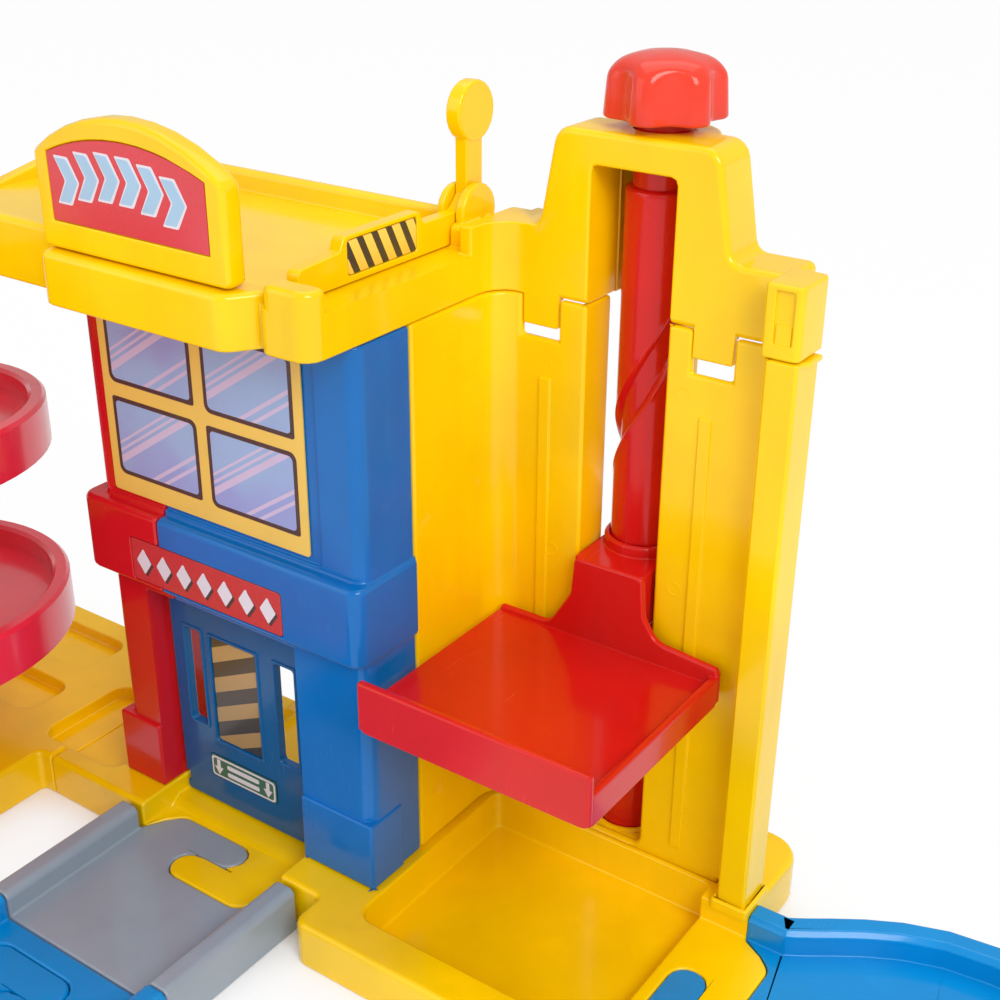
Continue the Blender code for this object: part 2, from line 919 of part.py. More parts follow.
door_half = 0.0317
door_foot = 0.0123
door_top = 0.0962
door_front = -0.078
door_thick = 0.003
pane_left = -0.1230
pane_right = -0.1017
pane_foot = 0.0407
pane_top = 0.0832
plate_left = -0.1277
plate_right = -0.0959
plate_foot = 0.0238
plate_top = 0.0336


def make_door():
    outline = box_outline((lane_centre - door_half, door_foot), (lane_centre + door_half, door_top), fine_edge)
    body = prism("door", outline, door_front, door_front + door_thick, axis="y")
    border = 0.0012
    proud = 0.0006
    windows = [
        (-0.1348, 0.0453, -0.1275, 0.0835),
        (pane_left, pane_foot, pane_right, pane_top),
        (-0.0930, 0.0438, -0.0844, 0.0834),
    ]
    for left, low, right, high in windows:
        frame = box_outline((left - border, low - border), (right + border, high + border), fine_edge)
        join(body, prism("border", frame, door_front - proud, door_front + proud, axis="y"))
    back = door_front + door_thick + overrun
    for left, low, right, high in (windows[0], windows[2]):
        opening = box_outline((left, low), (right, high), fine_edge)
        cut(body, prism("window", opening, door_front - overrun, back, axis="y"))
    pane = box_outline((pane_left, pane_foot), (pane_right, pane_top), fine_edge)
    cut(body, prism("pane", pane, door_front - overrun, door_front + sheet_depth, axis="y"))
    label = box_outline((plate_left, plate_foot), (plate_right, plate_top), fine_edge)
    cut(body, prism("plate", label, door_front - overrun, door_front + sheet, axis="y"))
    notch_foot = 0.016
    notch_top = 0.020
    notch = 0.0015
    for side in (-1, 1):
        edge = lane_centre + side * door_half
        tool = block((edge - notch, door_front - overrun, notch_foot), (edge + notch, back, notch_top))
        cut(body, tool)
    pin = hinge_hole - gap
    reach = opening_half + skin
    stub = circle_outline((hinge_y, hinge_z), pin, 16)
    join(body, prism("stub", stub, lane_centre - reach, lane_centre - door_half + wall, axis="x"))
    join(body, prism("stub", stub, lane_centre + door_half - wall, lane_centre + reach, axis="x"))
    return body


def make_door_pane():
    back = door_front + sheet_depth - gap
    outline = box_outline((pane_left + gap, pane_foot + gap), (pane_right - gap, pane_top - gap), fine_edge)
    return prism("door_pane", outline, back - sheet, back, axis="y")


def make_door_label():
    back = door_front + sheet - gap
    outline = box_outline((plate_left + gap, plate_foot + gap), (plate_right - gap, plate_top - gap), fine_edge)
    return prism("door_label", outline, back - sheet, back, axis="y")


# Roof

deck_left = -0.232
deck_front = -0.1004
deck_back = -0.009
deck_right = house_right
bay_left = -0.146
bay_right = -0.072
bay_front = -0.110
bulge_left = -0.065
bulge_front = -0.104
lane_mouth_front = -0.107
rim_width = 0.0055
pivot_y = -0.016
pivot_rise = 0.009
pivot_z = deck_level + pivot_rise
ear_radii = (0.0078, 0.0087)
ear_low = (-0.0646, -0.0570)
ear_high = (-0.0620, -0.0536)
ear_hole = 0.0024


def deck_outline():
    flare = 0.014
    return [
        (deck_left, deck_back, soft_edge),
        (deck_left, lane_mouth_front, soft_edge),
        (deck_left + flare, lane_mouth_front, flare / 2),
        (deck_left + 2 * flare, deck_front, flare / 2),
        (bay_left, deck_front, soft_edge),
        (bay_left, bay_front, soft_edge * 2),
        (bay_right, bay_front, soft_edge * 3),
        (bulge_left, deck_front + fine_edge, fine_edge),
        (bulge_left + soft_edge, bulge_front, wall),
        (deck_right, bulge_front, soft_edge * 3),
        (deck_right, tower_front, tower_turn),
        (-arch_half_foot, tower_front),
        (-arch_half_foot, deck_back),
    ]


def rim(corners, low, high):
    return prism("rim", corners, low, high, top=soft_edge)


def make_roof():
    outline = deck_outline()
    body = prism("roof_deck", outline, roof_seam, deck_level)
    hollow = shrunk(counterclockwise(outline), wall)
    under = prism("under", hollow, roof_seam - overrun, deck_level - wall)
    # Ribs that stand on the gate house walls
    ribs = [
        block((house_left, house_front, roof_seam), (deck_right, house_front + wall, deck_level)),
        block((house_left, house_front, roof_seam), (house_left + wall, deck_back, deck_level)),
    ]
    cut(under, *ribs)
    cut(body, under)

    low = deck_level - fine_edge
    flare = 0.014
    ramp_wall = -0.062
    front_rim = [
        (bay_left - gap, deck_front),
        (bay_left - gap, deck_front + rim_width),
        (deck_left + 2 * flare, deck_front + rim_width, flare / 2),
        (deck_left + flare, lane_mouth_front + rim_width, flare / 2),
        (deck_left, lane_mouth_front + rim_width, soft_edge),
        (deck_left, lane_mouth_front, soft_edge),
        (deck_left + flare, lane_mouth_front, flare / 2),
        (deck_left + 2 * flare, deck_front, flare / 2),
    ]
    bay = [
        (bay_left, bay_front, soft_edge * 2),
        (bay_right, bay_front, soft_edge * 3),
        (bulge_left, deck_front + fine_edge, soft_edge),
        (bulge_left, deck_front + rim_width, soft_edge),
        (bay_left, deck_front + rim_width, soft_edge),
    ]
    corner = [
        (bulge_left + fine_edge, deck_front + rim_width, soft_edge),
        (bulge_left + soft_edge, bulge_front, soft_edge * 2),
        (deck_right, bulge_front, soft_edge * 3),
        (deck_right, deck_front + rim_width, soft_edge * 1.2),
    ]
    back = [
        (deck_left, deck_back, soft_edge),
        (deck_left, deck_back - rim_width, soft_edge),
        (-arch_half_foot, deck_back - rim_width),
        (-arch_half_foot, deck_back),
    ]
    join(body, rim(front_rim, low, rim_top), rim(bay, low, bay_top), rim(corner, low, rim_top),
         rim(back, low, rim_top))

    # End wall that slopes down to the mouth of the ramp
    slope = [
        (deck_back - fine_edge, low),
        (deck_back - fine_edge, rim_top - fine_edge),
        (deck_back - 5 * rim_width, rim_top - fine_edge, rim_width),
        (ramp_wall, deck_level + fine_edge),
        (ramp_wall, low),
    ]
    join(body, prism("slope", slope, deck_left, deck_left + rim_width, axis="x", top=fine_edge, foot=fine_edge))

    # Arch over the screw, with the shoulders on both sides
    left_rise = 0.0085
    shoulder_left = deck_level + left_rise
    right_rise = 0.0078
    shoulder_right = deck_level + right_rise
    shoulder_end = 0.050
    arch_back = 0.001
    arch = [
        (deck_right + fine_edge, roof_seam),
        (shoulder_end, roof_seam),
        (shoulder_end, shoulder_right, soft_edge),
        (arch_half_foot + fine_edge, shoulder_right, soft_edge * 2),
        (arch_half_top, arch_top, soft_edge * 3),
        (-arch_half_top, arch_top, soft_edge * 3),
        (-arch_half_foot - fine_edge, shoulder_left, soft_edge * 2),
        (deck_right + fine_edge, shoulder_left, soft_edge),
    ]
    arch_solid = prism("arch", arch, tower_front, arch_back, axis="y", foot=soft_edge, top=fine_edge)
    side_wall = slot_half + wall
    hollow_foot = roof_seam - overrun
    left_hollow = [
        (deck_right + fine_edge + wall, hollow_foot),
        (-side_wall, hollow_foot),
        (-side_wall, arch_top - wall),
        (-arch_half_top + wall, arch_top - wall),
        (-arch_half_foot + wall, shoulder_left - wall),
        (deck_right + fine_edge + wall, shoulder_left - wall),
    ]
    right_hollow = [
        (side_wall, hollow_foot),
        (shoulder_end - wall, hollow_foot),
        (shoulder_end - wall, shoulder_right - wall),
        (arch_half_foot - wall, shoulder_right - wall),
        (arch_half_top - wall, arch_top - wall),
        (side_wall, arch_top - wall),
    ]
    for hollow_points in (left_hollow, right_hollow):
        cut(arch_solid, prism("hollow", hollow_points, tower_front + wall, arch_back + overrun, axis="y"))
    join(body, arch_solid)
    shoulder_front = -0.031
    shoulder_back = -0.003
    step_right = -0.0505
    shoulder = [
        (step_right, shoulder_front),
        (deck_right, shoulder_front, fine_edge),
        (deck_right, tower_front, tower_turn),
        (-arch_half_foot, tower_front),
        (-arch_half_foot, shoulder_back),
        (step_right, shoulder_back, soft_edge),
    ]
    join(body, prism("shoulder", shoulder, low, shoulder_left, top=fine_edge / 2))
    housing = circle_outline((0.0, 0.0), housing_radius, 32)
    join(body, prism("housing", housing, roof_seam, arch_top - fine_edge, top=fine_edge))
    slot = [
        (-slot_half, hollow_foot),
        (slot_half, hollow_foot),
        (slot_half, arch_inner_top, soft_edge),
        (-slot_half, arch_inner_top, soft_edge),
    ]
    cut(body, prism("slot", slot, tower_front - overrun, 0.0, axis="y"))
    chamber_top = hub_top + (deck_level - platform_floor) + fine_edge
    chamber = circle_outline((0.0, 0.0), hub_radius + fine_edge, 32)
    cut(body, prism("chamber", chamber, hollow_foot, chamber_top))
    neck_hole = circle_outline((0.0, 0.0), screw_neck + run_gap, 24)
    cut(body, prism("neck_hole", neck_hole, chamber_top - overrun, arch_top + overrun))

    # Block over the post, with the recesses on its front
    block_rise = 0.0082
    block_top = deck_level + block_rise
    cap_left = 0.0472
    cap_back = -0.009
    cap = [
        (cap_left, post_front, fine_edge),
        (post_right, post_front, soft_edge),
        (post_right, cap_back, soft_edge),
        (cap_left, cap_back),
    ]
    cap_solid = prism("cap", cap, roof_seam, block_top, top=fine_edge)
    cut(cap_solid, block((shoulder_end + fine_edge, post_front + wall, roof_seam - overrun),
                         (post_right - wall, cap_back - wall, block_top - wall)))
    join(body, cap_solid)
    recess_left = 0.0504
    recess_right = 0.0560
    recess_rise = 0.0044
    recess_foot = roof_seam + recess_rise
    recess_height = 0.0151
    recess_top = recess_foot + recess_height
    pad_height = 0.0056
    pad_top = recess_foot + pad_height
    recess = box_outline((recess_left, recess_foot), (recess_right, recess_top), fine_edge / 2)
    cut(body, prism("recess", recess, post_front - overrun, post_front + fine_edge, axis="y"))
    pad = box_outline((recess_left + fine_edge / 2, recess_foot - fine_edge), (recess_right - fine_edge / 2, pad_top),
                      fine_edge / 2)
    join(body, prism("pad", pad, post_front + fine_edge / 2, post_front + 2 * fine_edge, axis="y"))

    # Latch tabs that hook into the tower wall
    for (left, right), drop in zip(latches, latch_tab_drops):
        join(body, block((left, tower_front, roof_seam - drop), (right, tower_front + wall, roof_seam + wall)))

    # Ears for the barrier
    ear_front = -0.0272
    ear_step = rim_top
    for left, right, ear_radius in zip(ear_low, ear_high, ear_radii):
        disc = circle_outline((pivot_y, pivot_z), ear_radius, 24)
        ear = prism("ear", disc, left, right, axis="x", top=fine_edge, foot=fine_edge)
        base = [
            (pivot_y - ear_radius + fine_edge, low),
            (pivot_y + ear_radius - fine_edge, low),
            (pivot_y + ear_radius - fine_edge, pivot_z),
            (pivot_y - ear_radius + fine_edge, pivot_z),
        ]
        step = [
            (ear_front, low),
            (pivot_y, low),
            (pivot_y, ear_step),
            (ear_front, ear_step, soft_edge),
        ]
        join(ear, prism("stem", base, left, right, axis="x"))
        join(ear, prism("step", step, left, right if right < arm_low else step_right + fine_edge, axis="x"))
        join(body, ear)
    hole = circle_outline((pivot_y, pivot_z), ear_hole, 16)
    cut(body, prism("hole", hole, ear_low[0] - overrun, ear_high[1] - fine_edge, axis="x"))

    # Room for the barrier between the ears
    reach = ear_radii[1] + run_gap
    way_low = (ear_high[0] + gap / 2, pivot_y - reach, deck_level)
    way_high = (ear_low[1] - gap / 2, pivot_y + reach, pivot_z + reach)
    cut(body, block(way_low, way_high))
    return body


# Name board

board_left = -0.146
board_right = -0.071
board_front = -0.107
board_back = -0.099
board_side = 0.029
board_shoulder = bay_top + board_side
board_arch = 0.0125
board_top = board_shoulder + board_arch
board_rim = 0.006
board_foot = 0.009
board_label_foot = bay_top + board_foot


def board_outline(shrink, foot):
    # Upright sides and an arched head.
    half = (board_right - board_left) / 2 - shrink
    centre = (board_right + board_left) / 2
    shoulder = board_shoulder
    rise = board_top - shrink - shoulder
    radius = (half * half + rise * rise) / (2 * rise)
    span = atan2(half, radius - rise)
    points = [(centre - half, foot), (centre + half, foot)]
    steps = 10
    for step in range(steps + 1):
        angle = span - 2 * span * step / steps
        points.append((centre + radius * sin(angle), shoulder + rise - radius + radius * cos(angle)))
    return points


def make_board():
    foot = bay_top + gap
    body = prism("sign_board", board_outline(0.0, foot), board_front, board_back, axis="y",
                 foot=soft_edge, top=soft_edge)
    recess = board_outline(board_rim, board_label_foot)
    cut(body, prism("recess", recess, board_front - overrun, board_front + sheet_depth, axis="y"))
    return body


def make_board_label():
    back = board_front + sheet_depth - gap
    outline = board_outline(board_rim + gap, board_label_foot + gap)
    return prism("sign_label", outline, back - sheet, back, axis="y")


# Barrier

arm_low = -0.0617
arm_high = -0.0573
arm_foot = deck_level + gap
arm_tip = -0.0944
arm_height = 0.0097
arm_top = arm_foot + arm_height
panel_front = -0.075
panel_back = -0.041
panel_rise = 0.004
panel_top = arm_top + panel_rise
lever_front = -0.0178
lever_back = -0.0095
head_radius = 0.0092
head_y = -0.0129
lever_height = 0.0294
head_z = pivot_z + lever_height


def make_barrier():
    half = (lever_back - lever_front) / 2
    inner = head_radius - half / 2
    # The heel is round about the pin, so that it clears the deck as it turns.
    heel = pivot_z - arm_foot
    heel_steps = 5
    last = acos((lever_back - pivot_y) / heel)
    heel_corners = []
    for step in range(heel_steps + 1):
        angle = -pi / 2 + (pi / 2 - last) * step / heel_steps
        heel_corners.append((pivot_y + heel * cos(angle), pivot_z + heel * sin(angle)))
    outline = [(arm_tip, arm_foot, soft_edge)] + heel_corners + [
        (lever_back, head_z - inner),
        (lever_back - half, head_z),
        (lever_front, head_z - inner),
        (lever_front, arm_top + 2 * soft_edge),
        (lever_front - 2 * soft_edge, arm_top, soft_edge),
        (panel_back + soft_edge, arm_top, soft_edge / 2),
        (panel_back, panel_top, soft_edge),
        (panel_front, panel_top, soft_edge),
        (panel_front - soft_edge, arm_top, soft_edge / 2),
        (arm_tip, arm_top - fine_edge, soft_edge),
    ]
    body = prism("barrier", outline, arm_low, arm_high, axis="x", top=fine_edge / 2, foot=fine_edge / 2)
    head = circle_outline((head_y, head_z), head_radius, 24)
    join(body, prism("head", head, arm_low - fine_edge / 2, arm_high + fine_edge / 2, axis="x",
                     top=fine_edge, foot=fine_edge))
    stub = circle_outline((pivot_y, pivot_z), ear_hole - gap, 16)
    reach = (ear_high[1] - ear_low[1]) / 2
    join(body, prism("stub", stub, ear_high[0] - reach, ear_low[1] + reach, axis="x"))
    label = barrier_label_outline(0.0)
    cut(body, prism("recess", label, arm_high - sheet_depth, arm_high + overrun, axis="x"))
    return body


def barrier_label_outline(shrink):
    margin = 0.0013
    low = (panel_front + margin + shrink, arm_foot + soft_edge + shrink)
    high = (panel_back - margin - shrink, panel_top - margin - shrink)
    return box_outline(low, high, fine_edge)


def make_barrier_label():
    front = arm_high - sheet_depth + gap
    return prism("barrier_label", barrier_label_outline(gap), front, front + sheet, axis="x")


# Roads

def road_section(half=road_half):
    # Two hollow kerbs joined by a floor, one thin skin all along.
    outer = half + road_wall
    round_off = 0.0018
    shell = 0.0022
    low = apron_level - plate
    right = [
        (half, apron_level),
        (half, base_top - round_off),
        (half + round_off, base_top),
        (outer - round_off, base_top),
        (outer, base_top - round_off),
        (outer, 0.0),
        (outer - shell, 0.0),
        (outer - shell, base_top - shell),
        (half + shell, base_top - shell),
        (half + shell, low),
    ]
    left = [(-a, up) for a, up in reversed(right)]
    return right + left


def straight_frames(start, end):
    start = Vector(start)
    end = Vector(end)
    along = (end - start).normalized()
    right = Vector((along.y, -along.x))
    return [(start, right, 0.0), (end, right, 0.0)]


def make_road_grey():
    frames = straight_frames((lane_centre, road_colour_line + gap / 2), (lane_centre, road_joint - gap / 2))
    body = sweep("road_grey", road_section(), frames)
    kerb_end = road_joint - skin / 2
    trim_kerbs(body, kerb_end, road_joint + overrun)
    add_hook(body, (lane_centre, road_joint), 0.0)
    return body


def trim_kerbs(body, low_y, high_y):
    # The kerbs stop a little short of the base.
    reach = road_half + road_wall + overrun
    inner = road_half
    for side in (-1, 1):
        ends = sorted((lane_centre + side * inner, lane_centre + side * reach))
        cut(body, block((ends[0], low_y, -overrun), (ends[1], high_y, base_top + overrun)))


def make_road_front():
    frames = straight_frames((lane_centre, road_far_joint + gap / 2), (lane_centre, road_colour_line - gap / 2))
    body = sweep("road_blue_front", road_section(), frames)
    add_hook(body, (lane_centre, road_far_joint), pi)
    return body


bend_radius = 0.045
bend_lead = road_far_joint - bend_radius - (spiral_y - spiral_inner + gap - road_half)


def make_road_bend():
    right = Vector((-1.0, 0.0))
    start = Vector((lane_centre, road_far_joint - gap / 2))
    corner = Vector((lane_centre, road_far_joint - bend_lead))
    frames = [(start, right, 0.0)]
    centre = Vector((lane_centre - bend_radius, corner.y))
    steps = 9
    for step in range(steps + 1):
        angle = -pi / 2 * step / steps
        outward = Vector((cos(angle), sin(angle)))
        frames.append((centre + outward * bend_radius, -outward, 0.0))
    body = sweep("road_blue_bend", road_section(), frames)
    add_hook(body, (lane_centre, road_far_joint), 0.0)
    return body


wave_start = 0.074
wave_end = 0.132
wave_shift = 0.026
right_road_end = 0.172


def make_road_right():
    # The road swings to the back by one smooth wave and ends in the next hook.
    frames = [(Vector((base_right + gap / 2, exit_centre)), Vector((0.0, -1.0)), 0.0)]
    steps = 9
    for step in range(steps + 1):
        share = step / steps
        x = wave_start + (wave_end - wave_start) * share
        y = exit_centre + wave_shift * (1 - cos(pi * share)) / 2
        slope = wave_shift * pi * sin(pi * share) / 2 / (wave_end - wave_start)
        along = Vector((1.0, slope)).normalized()
        frames.append((Vector((x, y)), Vector((along.y, -along.x)), 0.0))
    end = Vector((right_road_end, exit_centre + wave_shift))
    frames.append((end, Vector((0.0, -1.0)), 0.0))
    body = sweep("road_blue_right", road_section(), frames)
    add_hook(body, (base_right, exit_centre), pi / 2)
    add_hook(body, end, -pi / 2)
    return body


# Spiral ramp and its column

def spiral_section():
    # Measured from the middle of the lane and the top of the outer wall, right side outward.
    half = (spiral_outer - spiral_inner) / 2
    outer_band = 0.006
    inner_band = 0.0035
    wall_drop = 0.017
    floor_drop = 0.008
    floor_skin = 0.0025
    shell = 0.0022
    edge = 0.0012
    return [
        (half, -wall_drop),
        (half, -edge),
        (half - edge, 0.0),
        (half - outer_band + edge, 0.0),
        (half - outer_band, -edge),
        (half - outer_band, -floor_drop),
        (-half + inner_band, -floor_drop),
        (-half + inner_band, -edge),
        (-half + inner_band - edge, 0.0),
        (-half + edge, 0.0),
        (-half, -edge),
        (-half, -wall_drop),
        (-half + shell, -wall_drop),
        (-half + shell, -floor_drop - floor_skin),
        (half - outer_band, -floor_drop - floor_skin),
        (half - outer_band, -floor_drop - floor_skin - fine_edge),
        (half - shell, -floor_drop - floor_skin - fine_edge),
        (half - shell, -wall_drop),
    ]


def spiral_height(degrees):
    extra = spiral_lift * (degrees / 270) ** 2 if degrees < 0 else 0.0
    return spiral_mark - spiral_pitch * degrees / 360 + extra


def make_spiral():
    middle = (spiral_outer + spiral_inner) / 2
    first = -270
    last = 630
    step = 18
    mouth = deck_left - gap
    start = spiral_height(first)
    up = Vector((0.0, 1.0))
    frames = [(Vector((mouth, spiral_y + middle)), up, start + fine_edge)]
    for degrees in range(first, last + 1, step):
        angle = radians(degrees)
        outward = Vector((cos(angle), sin(angle)))
        place = Vector((spiral_x, spiral_y)) + outward * middle
        frames.append((place, outward, spiral_height(degrees)))
    chute_end = -0.150
    chute_level = 0.0195
    down = Vector((0.0, -1.0))
    y = spiral_y - middle
    share_places = (0.30, 0.65, 1.0)
    share_drops = (0.22, 0.62, 1.0)
    for along, drop in zip(share_places, share_drops):
        x = spiral_x + (chute_end - spiral_x) * along
        level = spiral_height(last) + (chute_level - spiral_height(last)) * drop
        frames.append((Vector((x, y)), down, level))
    body = sweep("spiral_ramp", spiral_section(), frames)
    return trim_chute(body)


def trim_chute(body):
    # The chute's foot is cut level, so that it lies on the road floor.
    low = (lane_centre - 3 * road_half, spiral_y - 2 * spiral_outer, -overrun)
    high = (lane_centre, spiral_y, apron_level + gap)
    return cut(body, block(low, high))


def make_column():
    outer = spiral_inner - gap
    inner = outer - wall
    foot = base_top + gap
    spindle = 0.0035
    top = 0.205
    cap = top - wall
    profile = [
        (inner, foot),
        (outer - gap, foot),
        (outer - gap, top - soft_edge),
        (outer - soft_edge, top),
        (spindle, top),
        (spindle, cap),
        (inner, cap),
    ]
    body = turned("spiral_column", profile, 32, (spiral_x, spiral_y))
    window_half = 0.010
    storeys = [(0.030, 0.075), (0.092, 0.137), (0.152, 0.190)]
    for low, high in storeys:
        arch = [
            (spiral_x - window_half, low, soft_edge),
            (spiral_x + window_half, low, soft_edge),
            (spiral_x + window_half, high, window_half * 0.95),
            (spiral_x - window_half, high, window_half * 0.95),
        ]
        cut(body, prism("window", arch, spiral_y - spiral_outer, spiral_y + spiral_outer, axis="y"))
    return body


# Assembly

def main():
    clear_scene()
    yellow = plastic("yellow", (0.93, 0.60, 0.0))
    red = plastic("lift_red", (0.63, 0.008, 0.008))
    house_red = plastic("house_red", (0.66, 0.012, 0.02))
    blue = plastic("house_blue", (0.0, 0.14, 0.46))
    door_blue = plastic("door_blue", (0.0, 0.11, 0.31))
    track_blue = plastic("track_blue", (0.0, 0.24, 0.62))
    grey = plastic("track_grey", (0.28, 0.33, 0.38))
    coral = plastic("ramp_coral", (0.85, 0.06, 0.10))
    label_red = plastic("label_red", (0.70, 0.02, 0.03), 0.45)
    label_yellow = plastic("label_yellow", (0.83, 0.54, 0.08), 0.45)
    label_green = plastic("label_green", (0.02, 0.16, 0.12), 0.45)
    label_dark = plastic("label_dark", (0.03, 0.02, 0.015), 0.45)

    finish(make_base_main(), yellow)
    finish(make_base_left(), yellow)
    finish(make_collar(), yellow)
    red_house, blue_house = make_house()
    finish(red_house, house_red)
    finish(blue_house, blue)
    finish(make_window_label(), label_yellow)
    finish(make_lintel_label(), label_red)
    finish(make_tower(), yellow)
    finish(make_roof(), yellow)
    finish(make_board(), yellow)
    finish(make_board_label(), label_red)
    finish(make_road_grey(), grey)
    finish(make_road_front(), track_blue)
    finish(make_road_bend(), track_blue)
    finish(make_road_right(), track_blue)
    finish(make_spiral(), coral)
    finish(make_column(), yellow)

    screw = finish(make_screw(), red)
    knob = finish(make_knob(), red)
    set_pivot(screw, (0.0, 0.0, screw_foot))
    set_pivot(knob, (0.0, 0.0, knob_foot))
    platform = finish(make_platform(), red)
    set_pivot(platform, (0.0, 0.0, platform_floor))
    barrier_pivot = ((arm_low + arm_high) / 2, pivot_y, pivot_z)
    for item in (finish(make_barrier(), yellow), finish(make_barrier_label(), label_yellow)):
        set_pivot(item, barrier_pivot)
    door_pivot = (lane_centre, hinge_y, hinge_z)
    door_items = (
        finish(make_door(), door_blue),
        finish(make_door_pane(), label_dark),
        finish(make_door_label(), label_green),
    )
    for item in door_items:
        set_pivot(item, door_pivot)
    bpy.context.view_layer.update()


main()
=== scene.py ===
# Toy parking garage with a screw lift: the dressed model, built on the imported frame.

from math import atan, cos, pi, radians, sin, tau

import bmesh
import bpy
import numpy as np
from mathutils import Matrix, Vector
from mathutils.geometry import delaunay_2d_cdt


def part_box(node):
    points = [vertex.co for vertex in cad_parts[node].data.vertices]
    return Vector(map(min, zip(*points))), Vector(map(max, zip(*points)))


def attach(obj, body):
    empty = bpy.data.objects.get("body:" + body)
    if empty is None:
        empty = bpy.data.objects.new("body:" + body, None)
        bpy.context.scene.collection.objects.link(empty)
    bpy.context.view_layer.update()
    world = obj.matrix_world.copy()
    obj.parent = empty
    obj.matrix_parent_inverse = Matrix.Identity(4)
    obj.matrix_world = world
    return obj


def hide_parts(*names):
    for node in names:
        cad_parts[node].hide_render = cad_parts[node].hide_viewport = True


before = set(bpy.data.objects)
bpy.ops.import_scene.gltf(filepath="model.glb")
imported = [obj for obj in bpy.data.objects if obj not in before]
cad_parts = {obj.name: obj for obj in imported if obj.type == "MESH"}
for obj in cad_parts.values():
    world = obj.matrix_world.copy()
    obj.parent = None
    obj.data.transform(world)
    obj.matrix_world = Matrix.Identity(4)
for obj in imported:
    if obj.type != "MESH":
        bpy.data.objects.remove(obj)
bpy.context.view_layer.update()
print("frame loaded:", len(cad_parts), "nodes")

# Shader building


class Signal:
    # A node's output that can stand in a sum.
    def __init__(self, finish, socket):
        self.finish = finish
        self.socket = socket

    def joined(self, operation, first, second=0.0):
        return self.finish.node("ShaderNodeMath", {"operation": operation}, {0: first, 1: second})

    def __add__(self, other):
        return self.joined("ADD", self, other)

    def __radd__(self, other):
        return self.joined("ADD", other, self)

    def __sub__(self, other):
        return self.joined("SUBTRACT", self, other)

    def __rsub__(self, other):
        return self.joined("SUBTRACT", other, self)

    def __mul__(self, other):
        return self.joined("MULTIPLY", self, other)

    def __rmul__(self, other):
        return self.joined("MULTIPLY", other, self)

    def __mod__(self, other):
        return self.joined("FLOORED_MODULO", self, other)

    def __gt__(self, other):
        return self.joined("GREATER_THAN", self, other)

    def __lt__(self, other):
        return self.joined("LESS_THAN", self, other)


class Finish:
    # One material and its nodes.
    def __init__(self, name):
        self.material = bpy.data.materials.new(name)
        self.material.use_nodes = True
        self.tree = self.material.node_tree
        self.tree.nodes.clear()

    def node(self, kind, settings=None, inputs=None, output=0):
        made = self.tree.nodes.new(kind)
        for key, value in (settings or {}).items():
            setattr(made, key, value)
        for key, value in (inputs or {}).items():
            if isinstance(value, Signal):
                self.tree.links.new(value.socket, made.inputs[key])
            else:
                made.inputs[key].default_value = value
        return Signal(self, made.outputs[output])

    def place(self):
        return self.node("ShaderNodeTexCoord", output="Object")

    def mapped(self, scale, turn=(0.0, 0.0, 0.0)):
        sockets = {"Vector": self.place(), "Rotation": turn, "Scale": scale}
        return self.node("ShaderNodeMapping", inputs=sockets)

    def axes(self):
        apart = self.node("ShaderNodeSeparateXYZ", inputs={0: self.place()})
        outputs = apart.socket.node.outputs
        return [Signal(self, outputs[index]) for index in range(3)]

    def noise(self, vector, scale, detail=2.0, roughness=0.5, distortion=0.0):
        sockets = {"Vector": vector, "Scale": scale, "Detail": detail, "Roughness": roughness,
                   "Distortion": distortion}
        return self.node("ShaderNodeTexNoise", inputs=sockets)

    def ramped(self, value, low, high):
        sockets = {0: value, 1: low, 2: high}
        return self.node("ShaderNodeMapRange", {"interpolation_type": "SMOOTHSTEP"}, sockets)

    def mixed(self, first, second, share):
        return self.node("ShaderNodeMix", {"data_type": "RGBA"}, {0: share, 6: first, 7: second}, 2)

    def bumped(self, height, strength):
        sockets = {"Height": height, "Strength": strength, "Distance": 1.0}
        return self.node("ShaderNodeBump", inputs=sockets)

    def surface(self, **sockets):
        inputs = {key.replace("_", " "): value for key, value in sockets.items()}
        self.ended(self.node("ShaderNodeBsdfPrincipled", inputs=inputs))
        return self.material

    def ended(self, shader):
        end = self.tree.nodes.new("ShaderNodeOutputMaterial")
        self.tree.links.new(shader.socket, end.inputs[0])


def tone(red, green, blue):
    # A colour as a picture editor shows it, made linear.
    shares = (red / 255, green / 255, blue / 255)
    linear = [c / 12.92 if c <= 0.04045 else ((c + 0.055) / 1.055) ** 2.4 for c in shares]
    return (*linear, 1.0)


def shaded(colour, factor):
    return (*(c * factor for c in colour[:3]), 1.0)


# Moulded plastic: slow drift of the pigment, flow lines, rubbed patches, faint
# scratches and the slight waviness of a polished mould.

plasticSettings = {
    "darker": 0.9,
    "lighter": 1.12,
    "driftScale": 16.0,
    "driftRange": (0.3, 0.7),
    "flowScale": (60.0, 60.0, 9.0),
    "flowRange": (0.35, 0.65),
    "flowShare": 0.5,
    "rubbedScale": 38.0,
    "rubbedRange": (0.5, 0.72),
    "scratchScale": (2600.0, 90.0, 90.0),
    "scratchTurns": ((0.3, 0.2, 0.7), (1.1, 0.6, 2.1)),
    "scratchRange": (0.68, 0.74),
    "scratchTone": tone(250, 245, 235),
    "scratchShare": 0.02,
    "scratchDepth": 0.00001,
    "dentScale": 90.0,
    "dentDepth": 0.00022,
    "grainScale": 1400.0,
    "grainDepth": 0.000004,
    "bump": 0.35,
    "roughness": 0.17,
    "rubbedRoughness": 0.07,
    "scratchRoughness": 0.08,
    "driftRoughness": 0.05,
    "coat": 0.2,
    "coatRoughness": 0.06,
    "index": 1.42,
    "specular": 0.4,
}


